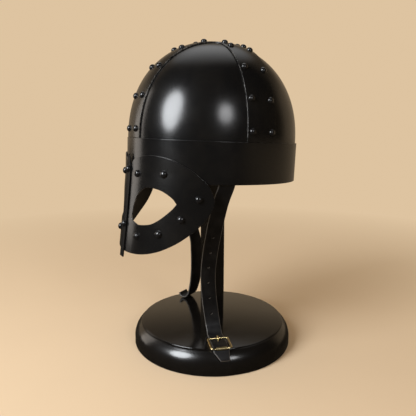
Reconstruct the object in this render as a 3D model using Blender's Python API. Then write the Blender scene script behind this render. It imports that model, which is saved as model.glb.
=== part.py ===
"""A Norse iron helmet with riveted bands and an eye guard, standing on its plain round stand.

Metres, +Z up. The origin is on the ground under the middle of the stand.
The helmet looks along -Y and the wearer's left is +X.
"""

import math

import bmesh
import bpy
from mathutils import Matrix, Vector

# Gap between pieces that touch, and the sheet iron
FIT = 0.0003
GUARD_FIT = 0.0006
BAND_FIT = 0.0009
STRAP_SEAT_FIT = 0.0009
REST_FIT = 0.0012
SKULL_WALL = 0.0015
BROW_WALL = 0.0015
BAND_WALL = 0.0015
GUARD_WALL = 0.0015
NASAL_WALL = 0.0015

# Helmet skull: outer half sizes at the brow, height above it, and roundness of both outlines
SKULL_HALF_LENGTH = 0.1140
SKULL_HALF_WIDTH = 0.1016
SKULL_HEIGHT = 0.1253
PLAN_POWER = 2.10
RISE_POWER = 2.156
SKULL_SKIRT = 0.0160
HELMET_LEAN = math.radians(2.2)

# Bands
BROW_HEIGHT = 0.0502
BROW_TOP_HEIGHT = 0.2884
RIDGE_HALF_WIDTH = 0.0203
SIDE_HALF_WIDTH = 0.0206
SIDE_BAND_BACK = 0.0105
CROWN_FILLET = 0.0080
RIDGE_RIVET_OFFSET = 0.0115
SIDE_RIVET_OFFSET = 0.0141

# Rivets
RIVET_RADIUS = 0.0041
RIVET_RISE = 0.0034
GUARD_RIVET_RADIUS = 0.0045
GUARD_RIVET_RISE = 0.0036
RIVET_SIDES = 8

# Eye guard, measured round the brow in degrees and down from the brow's top edge
GUARD_REACH = math.radians(66.7)
GUARD_TOP_DROP = 0.0195
GUARD_HEIGHT = 0.1255
GUARD_FLARE = 0.0083
GUARD_FLARE_START = 0.0380
GUARD_FLARE_POWER = 1.2
NASAL_HALF_WIDTH = 0.0058
NASAL_POINT = 0.0150
NASAL_LENGTH = 0.1320
NASAL_POINT_POWER = 0.7

# Straps
STRAP_WIDTH = 0.0200
STRAP_THICKNESS = 0.0022
STRAP_SEAT_TURN = math.radians(74)
STRAP_SEAT_LENGTH = 0.0260
STRAP_HEADING = math.radians(-17)
PUNCH_RADIUS = 0.0015
PUNCH_SPACING = 0.0235
PUNCH_COUNT = 6
PUNCH_FIRST = 0.0740
STRAP_LANDING = 0.0055

# Buckle
BUCKLE_WIDTH = 0.0262
BUCKLE_LENGTH = 0.0262
BUCKLE_CORNER = 0.0030
BUCKLE_WIRE = 0.0012
SLEEVE_LENGTH = 0.0130
SLEEVE_WALL = 0.0006
PRONG_WIRE = 0.0008
BUCKLE_LIFT = 0.0021

# Stand
BASE_RADIUS = 0.1123
BASE_EDGE_REACH = 0.0106
BASE_TOP_RADIUS = BASE_RADIUS - BASE_EDGE_REACH
BASE_HEIGHT = 0.0318
BASE_STEP = 0.0016
BASE_ROUND_CENTRE = 0.0100
BASE_FOOT_BEVEL = 0.0015
BASE_TOP_BEVEL = 0.0005
POST_SIDE = 0.0262
POST_CHAMFER = 0.0020
REST_REACH = 0.42
REST_DEPTH = 0.0140

# How finely each curved shape is divided
SKULL_TURNS = 48
SKULL_RISES = (0, 8, 18, 28, 38, 48, 58, 68, 79)
BROW_TURNS = 60
RIDGE_STEPS = 32
SIDE_STEPS = 12
SIDE_STEP_POWER = 1.5
BAND_COLUMNS = 4
GUARD_RINGS = 4
NASAL_STEPS = 10
NASAL_TIP_SHARES = (0.06, 0.35, 0.7, 1.0)
RIVET_RINGS = 3
BASE_SIDES = 56
BASE_EDGE_STEPS = 5
REST_SIDES = 32
REST_RINGS = 4
STRAP_STEPS = 3
STRAP_SEAT_SHARES = (1.0, 0.5, 0.0)
ROUND_SIDES = 8
CORNER_STEPS = 3
SMOOTH_ANGLE = 40
SHARP_ANGLE = 30
NUDGE = 0.002
TINY = 1e-12
WELD = 1e-6

# Rivet rows on the bands: degrees of rise from the brow towards the crown
RIDGE_RIVET_RISES = (4.3, 22.6, 43.2, 62.6, 78.7)
SIDE_RIVET_RISES = (4.8, 22.1, 42.9, 66.7, 75.8)

# Outer edge of one half of the eye guard: share of the reach, share of the height
GUARD_EDGE = (
    (0.000, 0.123),
    (0.110, 0.052),
    (0.245, 0.016),
    (0.382, 0.000),
    (0.514, 0.010),
    (0.628, 0.037),
    (0.717, 0.077),
    (0.804, 0.128),
    (0.871, 0.183),
    (0.932, 0.241),
    (0.973, 0.312),
    (1.000, 0.391),
    (0.992, 0.454),
    (0.968, 0.517),
    (0.906, 0.618),
    (0.818, 0.712),
    (0.715, 0.801),
    (0.603, 0.872),
    (0.505, 0.918),
    (0.382, 0.955),
    (0.234, 0.978),
    (0.000, 0.990),
)

# Edge of the eye hole in the same shares
EYE_EDGE = (
    (0.321, 0.313),
    (0.415, 0.307),
    (0.523, 0.327),
    (0.624, 0.382),
    (0.673, 0.437),
    (0.636, 0.489),
    (0.570, 0.555),
    (0.498, 0.613),
    (0.414, 0.657),
    (0.279, 0.681),
    (0.216, 0.671),
    (0.145, 0.640),
    (0.151, 0.546),
    (0.168, 0.480),
    (0.217, 0.390),
)
EYE_CENTRE = (0.400, 0.500)

# Extra corners on the guard's middle line, as shares of the height
GUARD_MIDDLE = (0.25, 0.4, 0.55, 0.7, 0.85)

# Rivets of one half of the eye guard in the same shares
GUARD_RIVETS = (
    (0.189, 0.187),
    (0.532, 0.168),
    (0.865, 0.382),
    (0.724, 0.578),
    (0.525, 0.737),
    (0.261, 0.793),
)

# Nasal rivets: share of the nasal bar's length from its point
NASAL_RIVETS = (0.148, 0.678)

# Left strap as it hangs: share of the fall from the rim to the stand, share of the
# seat's distance from the axis, sway along the strap's width in strap widths
LEFT_HANG = (
    (0.126, 0.915, -0.500),
    (0.350, 0.750, -0.780),
    (0.505, 0.630, -0.865),
    (0.620, 0.555, -0.860),
    (0.765, 0.505, -0.725),
    (0.880, 0.490, -0.565),
    (0.945, 0.510, -0.480),
    (0.978, 0.560, -0.450),
)

# Left strap over the stand's edge: shares of the edge's rounding, out and down
LEFT_OVER_EDGE = (
    (-1.20, 0.00),
    (-0.10, 0.00),
    (0.12, 0.03),
    (0.40, 0.38),
    (0.74, 0.66),
    (1.02, 0.86),
    (1.24, 1.02),
)

# Right strap: share of the fall, share of the seat's distance from the axis towards -X,
# place along Y in strap widths, turn of the strap's width in degrees from the Y axis
RIGHT_HANG = (
    (0.150, 0.950, -0.800, -8.0),
    (0.320, 0.870, -0.100, -8.0),
    (0.500, 0.790, 0.450, -8.0),
    (0.620, 0.765, 0.520, -8.0),
    (0.760, 0.765, 0.520, -9.0),
    (0.860, 0.780, 0.460, -12.0),
    (0.925, 0.800, 0.360, -16.0),
    (0.965, 0.825, 0.270, -22.0),
    (0.990, 0.865, 0.160, -27.0),
    (1.000, 0.920, 0.020, -30.0),
    (0.996, 0.965, -0.090, -30.0),
    (0.974, 0.995, -0.170, -30.0),
)

# Prong from the hole in the strap and over the upper bar: distance from the bar and height
# above it, both as shares of the height at which the prong passes over the bar
PRONG_ROUTE = (
    (1.77, -1.13),
    (1.77, 0.00),
    (1.42, 0.70),
    (0.35, 1.00),
    (-0.35, 1.00),
    (-1.39, 0.85),
)


def clear_scene():
    for thing in list(bpy.data.objects):
        bpy.data.objects.remove(thing)


def make_material(name, colour, roughness, metallic):
    material = bpy.data.materials.new(name)
    material.use_nodes = True
    shader = material.node_tree.nodes["Principled BSDF"]
    shader.inputs["Base Color"].default_value = (*colour, 1.0)
    shader.inputs["Roughness"].default_value = roughness
    shader.inputs["Metallic"].default_value = metallic
    return material


def add_object(name, points, faces, material, parent=None, smooth_angle=SMOOTH_ANGLE):
    mesh = bpy.data.meshes.new(name)
    mesh.from_pydata([tuple(point) for point in points], [], faces)
    work = bmesh.new()
    work.from_mesh(mesh)
    bmesh.ops.remove_doubles(work, verts=work.verts, dist=WELD)
    bmesh.ops.recalc_face_normals(work, faces=work.faces)
    work.to_mesh(mesh)
    work.free()
    mesh.shade_smooth()
    mesh.set_sharp_from_angle(angle=math.radians(smooth_angle))
    thing = bpy.data.objects.new(name, mesh)
    bpy.context.scene.collection.objects.link(thing)
    thing.parent = parent
    if material:
        mesh.materials.append(material)
    return thing


def plan_point(turn, offset=0.0, stretch=0.0):
    """A point of the helmet's outline. The turn is 0 at the front and grows towards the left."""
    across = math.sin(turn)
    along = math.cos(turn)
    size = (abs(across) ** PLAN_POWER + abs(along) ** PLAN_POWER) ** (-1 / PLAN_POWER)
    x = (SKULL_HALF_WIDTH + offset) * across * size
    y = -(SKULL_HALF_LENGTH + offset + stretch) * along * size
    return Vector((x, y, 0.0))


def dome_normal(point):
    x = abs(point.x) / SKULL_HALF_WIDTH
    y = abs(point.y) / SKULL_HALF_LENGTH
    z = max(point.z, 0.0) / SKULL_HEIGHT
    spread = x**PLAN_POWER + y**PLAN_POWER
    if spread < TINY:
        return Vector((0.0, 0.0, 1.0))
    lift = spread ** (RISE_POWER / PLAN_POWER - 1)
    return Vector(
        (
            math.copysign(lift * x ** (PLAN_POWER - 1) / SKULL_HALF_WIDTH, point.x),
            math.copysign(lift * y ** (PLAN_POWER - 1) / SKULL_HALF_LENGTH, point.y),
            z ** (RISE_POWER - 1) / SKULL_HEIGHT,
        )
    ).normalized()


def rise_height(rise, top=SKULL_HEIGHT):
    return top * max(math.sin(rise), 0.0) ** (2 / RISE_POWER)


def on_dome(turn, rise, drop, offset):
    """A point at a turn and a rise on the skull, or straight below its edge by the drop."""
    point = plan_point(turn) * max(math.cos(rise), 0.0) ** (2 / RISE_POWER)
    point.z = rise_height(rise)
    normal = dome_normal(point)
    point.z -= drop
    return point + normal * offset


def over_crown(x, rise, offset):
    """A point on the front-to-back section at x. The rise runs from 0 at the front to pi."""
    top = SKULL_HEIGHT * (1 - (abs(x) / SKULL_HALF_WIDTH) ** RISE_POWER) ** (1 / RISE_POWER)
    z = rise_height(rise, top)
    ring = (1 - (z / SKULL_HEIGHT) ** RISE_POWER) ** (PLAN_POWER / RISE_POWER)
    y = max(ring - (abs(x) / SKULL_HALF_WIDTH) ** PLAN_POWER, 0.0) ** (1 / PLAN_POWER)
    point = Vector((x, -math.copysign(y * SKULL_HALF_LENGTH, math.cos(rise)), z))
    return point + dome_normal(point) * offset


def up_side(y, rise, side, offset):
    """A point on the side-to-side section at y, on the side whose sign is given."""
    top = SKULL_HEIGHT * (1 - (abs(y) / SKULL_HALF_LENGTH) ** RISE_POWER) ** (1 / RISE_POWER)
    z = rise_height(rise, top)
    ring = (1 - (z / SKULL_HEIGHT) ** RISE_POWER) ** (PLAN_POWER / RISE_POWER)
    x = max(ring - (abs(y) / SKULL_HALF_LENGTH) ** PLAN_POWER, 0.0) ** (1 / PLAN_POWER)
    point = Vector((side * x * SKULL_HALF_WIDTH, y, z))
    return point + dome_normal(point) * offset


def grid_faces(rows, columns, ring=False):
    faces = []
    for row in range(rows - 1):
        for column in range(columns if ring else columns - 1):
            beside = (column + 1) % columns
            start = row * columns
            above = start + columns
            faces.append((start + column, start + beside, above + beside, above + column))
    return faces


def add_sheet(name, spots, faces, place, low, high, material, parent):
    """A sheet between two offsets of one surface, closed along every free edge."""
    count = len(spots)
    points = [place(*spot, high) for spot in spots] + [place(*spot, low) for spot in spots]
    used = {}
    for face in faces:
        for start, end in zip(face, face[1:] + face[:1]):
            key = (min(start, end), max(start, end))
            used[key] = None if key in used else (start, end)
    inner = [tuple(corner + count for corner in reversed(face)) for face in faces]
    walls = [(end, start, start + count, end + count) for start, end in filter(None, used.values())]
    return add_object(name, points, list(faces) + inner + walls, material, parent)


def rivet_shape(radius, rise, sink):
    """Points and faces of a domed head about +Z, standing on z=0 or sunk below it."""
    points = [Vector((0.0, 0.0, -sink)), Vector((0.0, 0.0, rise))]
    rings = [(radius, -sink)] if sink else []
    for step in range(RIVET_RINGS):
        turn = step / RIVET_RINGS * math.pi / 2
        rings.append((radius * math.cos(turn), rise * math.sin(turn)))
    faces = []
    for ring, (size, height) in enumerate(rings):
        for side in range(RIVET_SIDES):
            turn = 2 * math.pi * side / RIVET_SIDES
            points.append(Vector((size * math.cos(turn), size * math.sin(turn), height)))
        first = 2 + ring * RIVET_SIDES
        for side in range(RIVET_SIDES):
            beside = (side + 1) % RIVET_SIDES
            if ring == 0:
                faces.append((0, first + beside, first + side))
            else:
                below = first - RIVET_SIDES
                faces.append((below + side, below + beside, first + beside, first + side))
            if ring == len(rings) - 1:
                faces.append((first + side, first + beside, 1))
    return points, faces


def facing(point, normal):
    """A frame at the point whose Z axis is the normal."""
    return Matrix.Translation(point) @ normal.to_track_quat("Z", "Y").to_matrix().to_4x4()


def fuse_rivets(band, seats):
    """Joins a rivet at each seat to the band, so that the band and its rivets are one solid."""
    sink = BAND_WALL / 2
    points = []
    faces = []
    for seat in seats:
        shape, sides = rivet_shape(RIVET_RADIUS, RIVET_RISE, sink)
        faces += [tuple(corner + len(points) for corner in side) for side in sides]
        points += [seat @ point for point in shape]
    rivets = add_object(band.name + "_rivets", points, faces, None, band.parent)
    rivets.hide_render = True
    rivets.display_type = "WIRE"
    join = band.modifiers.new("rivets", "BOOLEAN")
    join.operation = "UNION"
    join.object = rivets


def make_skull(material, helmet):
    turns = [2 * math.pi * turn / SKULL_TURNS for turn in range(SKULL_TURNS)]
    spots = [(turn, 0.0, SKULL_SKIRT) for turn in turns]
    for angle in SKULL_RISES:
        spots += [(turn, math.radians(angle), 0.0) for turn in turns]
    faces = grid_faces(len(SKULL_RISES) + 1, SKULL_TURNS, ring=True)
    last = len(spots) - SKULL_TURNS
    for turn in range(SKULL_TURNS):
        faces.append((last + turn, last + (turn + 1) % SKULL_TURNS, len(spots)))
    spots.append((0.0, math.pi / 2, 0.0))
    add_sheet("skull", spots, faces, on_dome, -SKULL_WALL, 0.0, material, helmet)


def make_brow_band(material, helmet):
    spots = []
    for drop in (0.0, BROW_HEIGHT):
        spots += [(2 * math.pi * turn / BROW_TURNS, 0.0, drop) for turn in range(BROW_TURNS)]
    faces = grid_faces(2, BROW_TURNS, ring=True)
    add_sheet("brow_band", spots, faces, on_dome, FIT, FIT + BROW_WALL, material, helmet)


def lowest_rise(top=SKULL_HEIGHT):
    """The rise at which a band's end clears the brow band's top edge."""
    return math.asin((FIT / top) ** (RISE_POWER / 2))


def make_ridge_band(material, helmet):
    start = lowest_rise()
    spots = []
    for step in range(RIDGE_STEPS + 1):
        rise = start + (math.pi - 2 * start) * step / RIDGE_STEPS
        for column in range(BAND_COLUMNS + 1):
            spots.append((RIDGE_HALF_WIDTH * (2 * column / BAND_COLUMNS - 1), rise))
    faces = grid_faces(RIDGE_STEPS + 1, BAND_COLUMNS + 1)
    high = FIT + BAND_WALL
    band = add_sheet("ridge_band", spots, faces, over_crown, FIT, high, material, helmet)
    seats = []
    for angle in RIDGE_RIVET_RISES:
        for rise in (math.radians(angle), math.pi - math.radians(angle)):
            for x in (-RIDGE_RIVET_OFFSET, RIDGE_RIVET_OFFSET):
                point = over_crown(x, rise, high)
                seats.append(facing(point, dome_normal(over_crown(x, rise, 0.0))))
    fuse_rivets(band, seats)


def rise_at_ridge(y):
    """The rise at which a side section meets the ridge band's edge."""
    low, high = 0.0, math.pi / 2
    for _ in range(40):
        middle = (low + high) / 2
        if up_side(y, middle, 1, 0.0).x > RIDGE_HALF_WIDTH + BAND_FIT:
            low = middle
        else:
            high = middle
    return low


def make_side_band(name, side, material, helmet):
    spots = []
    start = lowest_rise()
    climb = rise_at_ridge(SIDE_BAND_BACK) - start
    for step in range(SIDE_STEPS + 1):
        along = 1 - (1 - step / SIDE_STEPS) ** SIDE_STEP_POWER
        middle = up_side(SIDE_BAND_BACK, start + climb * along, 1, 0.0)
        near = min(max((middle.x - RIDGE_HALF_WIDTH - BAND_FIT) / CROWN_FILLET, 0.0), 1.0)
        half = SIDE_HALF_WIDTH + CROWN_FILLET * (1 - math.sqrt(1 - (1 - near) ** 2))
        for column in range(BAND_COLUMNS + 1):
            y = SIDE_BAND_BACK + half * (2 * column / BAND_COLUMNS - 1)
            spots.append((y, start + (rise_at_ridge(y) - start) * along, side))
    faces = grid_faces(SIDE_STEPS + 1, BAND_COLUMNS + 1)
    high = FIT + BAND_WALL
    band = add_sheet(name, spots, faces, up_side, FIT, high, material, helmet)
    seats = []
    for angle in SIDE_RIVET_RISES:
        for offset in (-SIDE_RIVET_OFFSET, SIDE_RIVET_OFFSET):
            spot = (SIDE_BAND_BACK + offset, math.radians(angle), side)
            seats.append(facing(up_side(*spot, high), dome_normal(up_side(*spot, 0.0))))
    fuse_rivets(band, seats)


def guard_flare(drop):
    whole = GUARD_TOP_DROP + GUARD_HEIGHT - GUARD_FLARE_START
    return GUARD_FLARE * (max(drop - GUARD_FLARE_START, 0.0) / whole) ** GUARD_FLARE_POWER


def on_guard(turn, drop, offset):
    """A point on the brow's outline, pushed forwards as it drops below the rim."""
    point = plan_point(turn, offset, guard_flare(drop))
    point.z = -drop
    return point


def guard_spot(reach, height):
    return reach * GUARD_REACH, GUARD_TOP_DROP + height * GUARD_HEIGHT


def guard_offsets():
    low = FIT + BROW_WALL + GUARD_FIT
    return low, low + GUARD_WALL


def ray_length(edge, angle):
    """How far a ray from the eye hole's centre runs to an edge."""
    across, down = math.cos(angle), math.sin(angle)
    longest = 0.0
    for (x1, y1), (x2, y2) in zip(edge, edge[1:] + edge[:1]):
        ax, ay = x1 - EYE_CENTRE[0], y1 - EYE_CENTRE[1]
        bx, by = x2 - x1, y2 - y1
        bottom = across * by - down * bx
        if abs(bottom) < TINY:
            continue
        along = (ax * by - ay * bx) / bottom
        share = (ax * down - ay * across) / bottom
        if along > 0 and -WELD <= share <= 1 + WELD:
            longest = max(longest, along)
    return longest


def angle_of(spot):
    return math.atan2(spot[1] - EYE_CENTRE[1], spot[0] - EYE_CENTRE[0]) % (2 * math.pi)


def make_eye_guard(material, helmet):
    corners = list(GUARD_EDGE) + list(EYE_EDGE)
    fill = [(0.0, share) for share in GUARD_MIDDLE]
    angles = sorted({round(angle_of(spot), 6) for spot in corners + fill})
    spots = []
    for mirror in (1, -1):
        for angle in angles:
            inner = ray_length(EYE_EDGE, angle)
            outer = ray_length(GUARD_EDGE, angle)
            for ring in range(GUARD_RINGS + 1):
                length = inner + (outer - inner) * ring / GUARD_RINGS
                reach = max(EYE_CENTRE[0] + length * math.cos(angle), 0.0)
                turn, drop = guard_spot(reach, EYE_CENTRE[1] + length * math.sin(angle))
                spots.append((mirror * turn, drop))
    faces = []
    width = GUARD_RINGS + 1
    for half, mirror in enumerate((1, -1)):
        for step in range(len(angles)):
            here = (half * len(angles) + step) * width
            there = (half * len(angles) + (step + 1) % len(angles)) * width
            for ring in range(width - 1):
                face = (here + ring, here + ring + 1, there + ring + 1, there + ring)
                faces.append(face if mirror > 0 else tuple(reversed(face)))
    spots, faces = weld_spots(spots, faces)
    low, high = guard_offsets()
    add_sheet("eye_guard", spots, faces, on_guard, low, high, material, helmet)


def weld_spots(spots, faces):
    """One spot for each place, so that the guard's two halves share their middle line."""
    kept = {}
    moved = []
    for spot in spots:
        key = (round(spot[0], 6), round(spot[1], 6))
        moved.append(kept.setdefault(key, len(kept)))
    welded = [tuple(moved[corner] for corner in face) for face in faces]
    return list(kept), [face for face in welded if len(set(face)) == len(face)]


def make_nasal_bar(material, helmet):
    half_turn = NASAL_HALF_WIDTH / (SKULL_HALF_WIDTH + guard_offsets()[1])
    drops = [NASAL_POINT * share for share in NASAL_TIP_SHARES]
    for step in range(1, NASAL_STEPS + 1):
        drops.append(NASAL_POINT + (NASAL_LENGTH - NASAL_POINT) * step / NASAL_STEPS)
    spots = []
    for drop in drops:
        width = half_turn * min(drop / NASAL_POINT, 1.0) ** NASAL_POINT_POWER
        spots += [(width * side, GUARD_TOP_DROP + drop) for side in (-1, 0, 1)]
    faces = grid_faces(len(drops), 3)
    low = guard_offsets()[1] + FIT
    add_sheet("nasal_bar", spots, faces, on_guard, low, low + NASAL_WALL, material, helmet)


def make_guard_rivets(material, helmet):
    points, faces = rivet_shape(GUARD_RIVET_RADIUS, GUARD_RIVET_RISE, 0.0)
    high = guard_offsets()[1]
    seats = {}
    for side, mirror in (("left", 1), ("right", -1)):
        for number, (reach, height) in enumerate(GUARD_RIVETS, 1):
            turn, drop = guard_spot(reach, height)
            seats[f"guard_rivet_{side}_{number}"] = (mirror * turn, drop, high)
    for number, share in enumerate(NASAL_RIVETS, 1):
        spot = (0.0, GUARD_TOP_DROP + share * NASAL_LENGTH, high + FIT + NASAL_WALL)
        seats[f"nasal_rivet_{number}"] = spot
    for name, (turn, drop, offset) in seats.items():
        rivet = add_object(name, points, faces, material, helmet)
        seat = on_guard(turn, drop, offset)
        aside = on_guard(turn + NUDGE, drop, offset) - on_guard(turn - NUDGE, drop, offset)
        down = on_guard(turn, drop + NUDGE, offset) - on_guard(turn, drop - NUDGE, offset)
        normal = down.cross(aside).normalized()
        rivet.matrix_local = facing(seat + normal * FIT, normal)


def turned(profile, sides):
    """Points and faces of a solid turned about Z from its profile of radius and height."""
    points = [Vector((0.0, 0.0, profile[0][1])), Vector((0.0, 0.0, profile[-1][1]))]
    for radius, height in profile[1:-1]:
        for side in range(sides):
            turn = 2 * math.pi * side / sides
            points.append(Vector((radius * math.cos(turn), radius * math.sin(turn), height)))
    rows = len(profile) - 2
    faces = [tuple(corner + 2 for corner in face) for face in grid_faces(rows, sides, ring=True)]
    last = 2 + (rows - 1) * sides
    for side in range(sides):
        beside = (side + 1) % sides
        faces.append((0, 2 + beside, 2 + side))
        faces.append((last + side, last + beside, 1))
    return points, faces


def make_stand_base(material):
    fall = BASE_HEIGHT - BASE_STEP - BASE_ROUND_CENTRE
    radius = (BASE_EDGE_REACH**2 + fall**2) / (2 * BASE_EDGE_REACH)
    centre = BASE_RADIUS - radius
    widest = math.asin(min(fall / radius, 1.0))
    profile = [(0.0, 0.0), (BASE_RADIUS - BASE_FOOT_BEVEL, 0.0), (BASE_RADIUS, BASE_FOOT_BEVEL)]
    for step in range(BASE_EDGE_STEPS + 1):
        turn = widest * step / BASE_EDGE_STEPS
        profile.append((centre + radius * math.cos(turn), BASE_ROUND_CENTRE + radius * math.sin(turn)))
    profile.append((BASE_TOP_RADIUS, BASE_HEIGHT - BASE_TOP_BEVEL))
    profile.append((BASE_TOP_RADIUS - BASE_TOP_BEVEL, BASE_HEIGHT))
    profile.append((0.0, BASE_HEIGHT))
    points, faces = turned(profile, BASE_SIDES)
    add_object("stand_base", points, faces, material, smooth_angle=SHARP_ANGLE)


def helmet_frame_matrix():
    return Matrix.Translation((0.0, 0.0, BROW_TOP_HEIGHT)) @ Matrix.Rotation(-HELMET_LEAN, 4, "X")


def make_stand_post(material):
    """A square post with chamfered corners, and on it a round rest that follows the skull inside."""
    lean = helmet_frame_matrix()
    turns = [2 * math.pi * side / REST_SIDES for side in range(REST_SIDES)]
    last_rise = math.acos(REST_REACH ** (RISE_POWER / 2))
    inside = -SKULL_WALL - REST_FIT
    points = [lean @ on_dome(0.0, math.pi / 2, 0.0, inside)]
    for ring in range(1, REST_RINGS + 1):
        rise = math.pi / 2 + (last_rise - math.pi / 2) * ring / REST_RINGS
        points += [lean @ on_dome(turn, rise, 0.0, inside) for turn in turns]
    underside = min(point.z for point in points) - REST_DEPTH
    points += [Vector((point.x, point.y, underside)) for point in points[-REST_SIDES:]]
    faces = [(0, 1 + side, 1 + (side + 1) % REST_SIDES) for side in range(REST_SIDES)]
    walls = grid_faces(REST_RINGS + 1, REST_SIDES, ring=True)
    faces += [tuple(corner + 1 for corner in face) for face in walls]
    faces.append(tuple(range(len(points) - REST_SIDES, len(points))))
    rest = add_object("stand_rest_shape", points, faces, None)
    half = POST_SIDE / 2
    cut = half - POST_CHAMFER
    square = ((half, -cut), (half, cut), (cut, half), (-cut, half))
    square += tuple((-x, -y) for x, y in square)
    heights = (BASE_HEIGHT + FIT, underside + REST_DEPTH / 2)
    points = [Vector((x, y, z)) for z in heights for x, y in square]
    count = len(square)
    faces = grid_faces(2, count, ring=True)
    faces += [tuple(range(count)), tuple(range(count, 2 * count))]
    post = add_object("stand_post", points, faces, material, smooth_angle=SHARP_ANGLE)
    rest.hide_render = True
    rest.display_type = "WIRE"
    join = post.modifiers.new("rest", "BOOLEAN")
    join.operation = "UNION"
    join.object = rest


def smooth_path(stops, steps):
    """A smooth curve through the stops, each a list of numbers, as a list of such lists."""
    ends = [stops[0]] + list(stops) + [stops[-1]]
    path = []
    for before, start, end, after in zip(ends, ends[1:], ends[2:], ends[3:]):
        for step in range(steps):
            t = step / steps
            path.append(
                [
                    b + 0.5 * t * (c - a + t * (2 * a - 5 * b + 4 * c - d + t * (3 * (b - c) + d - a)))
                    for a, b, c, d in zip(before, start, end, after)
                ]
            )
    path.append(list(stops[-1]))
    return path


def add_strap(name, path, material):
    """A flat strap along a path of centres, each with the direction of its width."""
    centres = [Vector(row[:3]) for row in path]
    points = []
    for number, row in enumerate(path):
        ahead = centres[min(number + 1, len(path) - 1)] - centres[max(number - 1, 0)]
        ahead.normalize()
        aside = Vector(row[3:6])
        aside = (aside - ahead * aside.dot(ahead)).normalized() * STRAP_WIDTH / 2
        out = ahead.cross(aside).normalized() * STRAP_THICKNESS / 2
        centre = centres[number]
        points += [centre - aside - out, centre + aside - out, centre + aside + out, centre - aside + out]
    rows = len(path)
    faces = grid_faces(rows, 4, ring=True)
    faces += [(0, 1, 2, 3), tuple(4 * (rows - 1) + corner for corner in range(4))]
    return add_object(name, points, faces, material)


def strap_seat(side):
    """Centres and widths of a strap where it lies flat inside the brow band, top first."""
    lean = helmet_frame_matrix()
    middle = STRAP_THICKNESS / 2
    rows = []
    for share in STRAP_SEAT_SHARES:
        drop = BROW_HEIGHT - STRAP_SEAT_LENGTH * share
        turn = side * STRAP_SEAT_TURN
        wall = lean @ on_dome(turn, 0.0, drop, 0.0)
        after = lean @ on_dome(turn + NUDGE, 0.0, drop, 0.0)
        aside = (after - lean @ on_dome(turn - NUDGE, 0.0, drop, 0.0)).normalized()
        out = Vector((aside.y, -aside.x, 0.0)).normalized()
        if out.x * side < 0:
            out.negate()
        sag = (STRAP_WIDTH / 2) ** 2 / (2 * SKULL_HALF_WIDTH)
        rows.append([*(wall - out * (middle + STRAP_SEAT_FIT + sag)), *(side * aside)])
    return rows


def heading_axes():
    out = Vector((math.cos(STRAP_HEADING), math.sin(STRAP_HEADING), 0.0))
    return out, Vector((-out.y, out.x, 0.0))


def strap_rest_height():
    return BASE_HEIGHT + 2 * FIT + STRAP_THICKNESS / 2


def left_strap_path():
    out, aside = heading_axes()
    seat = strap_seat(1)
    rim = Vector(seat[-1][:3])
    reach = rim.dot(out)
    fall = rim.z - strap_rest_height()
    stops = seat
    for share, distance, side in LEFT_HANG:
        spot = out * distance * reach + aside * side * STRAP_WIDTH
        stops.append([spot.x, spot.y, rim.z - fall * share, *aside])
    landing = LEFT_HANG[-1][1] * reach + STRAP_LANDING
    foot = LEFT_HANG[-1][2] * STRAP_WIDTH * aside
    flats = [(landing, 0.0), (landing + STRAP_WIDTH / 2, 0.0)]
    for far, down in LEFT_OVER_EDGE:
        flats.append((BASE_TOP_RADIUS + BASE_EDGE_REACH * far, BASE_EDGE_REACH * down))
    for distance, down in flats:
        spot = out * distance + foot
        stops.append([spot.x, spot.y, strap_rest_height() - down, *aside])
    return smooth_path(stops, STRAP_STEPS)


def make_left_strap(material):
    path = left_strap_path()
    strap = add_strap("left_strap", path, material)
    punch = punch_holes(path)
    cut = strap.modifiers.new("holes", "BOOLEAN")
    cut.operation = "DIFFERENCE"
    cut.object = punch


def along_path(path, distance):
    """The centre, the direction and the width direction at a distance along a strap's path."""
    centres = [Vector(row[:3]) for row in path]
    for start, end, row in zip(centres, centres[1:], path):
        length = (end - start).length
        if distance <= length:
            return start.lerp(end, distance / length), (end - start).normalized(), Vector(row[3:6])
        distance -= length
    return centres[-1], (centres[-1] - centres[-2]).normalized(), Vector(path[-1][3:6])


def punch_holes(path):
    """Round cutters through the strap: the row of holes, and the hole that the prong uses."""
    points = []
    faces = []
    seats = []
    for number in range(PUNCH_COUNT):
        distance = STRAP_SEAT_LENGTH + PUNCH_FIRST + number * PUNCH_SPACING
        centre, ahead, aside = along_path(path, distance)
        aside = (aside - ahead * aside.dot(ahead)).normalized()
        seats.append(facing(centre, ahead.cross(aside).normalized()))
    seats.append(facing(buckle_frame_matrix() @ prong_path()[0], Vector((0.0, 0.0, 1.0))))
    for seat in seats:
        first = len(points)
        for height in (-STRAP_THICKNESS, STRAP_THICKNESS):
            for side in range(ROUND_SIDES):
                turn = 2 * math.pi * side / ROUND_SIDES
                spot = (PUNCH_RADIUS * math.cos(turn), PUNCH_RADIUS * math.sin(turn), height)
                points.append(seat @ Vector(spot))
        walls = grid_faces(2, ROUND_SIDES, ring=True)
        faces += [tuple(first + corner for corner in face) for face in walls]
        faces.append(tuple(range(first, first + ROUND_SIDES)))
        faces.append(tuple(range(first + ROUND_SIDES, first + 2 * ROUND_SIDES)))
    punch = add_object("strap_punch", points, faces, None)
    punch.hide_render = True
    punch.display_type = "WIRE"
    return punch


def make_right_strap(material):
    seat = strap_seat(-1)
    rim = Vector(seat[-1][:3])
    fall = rim.z - strap_rest_height()
    stops = seat
    for share, distance, place, turn in RIGHT_HANG:
        angle = math.radians(turn)
        aside = (math.sin(angle), math.cos(angle), 0.0)
        stops.append([rim.x * distance, place * STRAP_WIDTH, rim.z - fall * share, *aside])
    add_strap("right_strap", smooth_path(stops, STRAP_STEPS), material)


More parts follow.
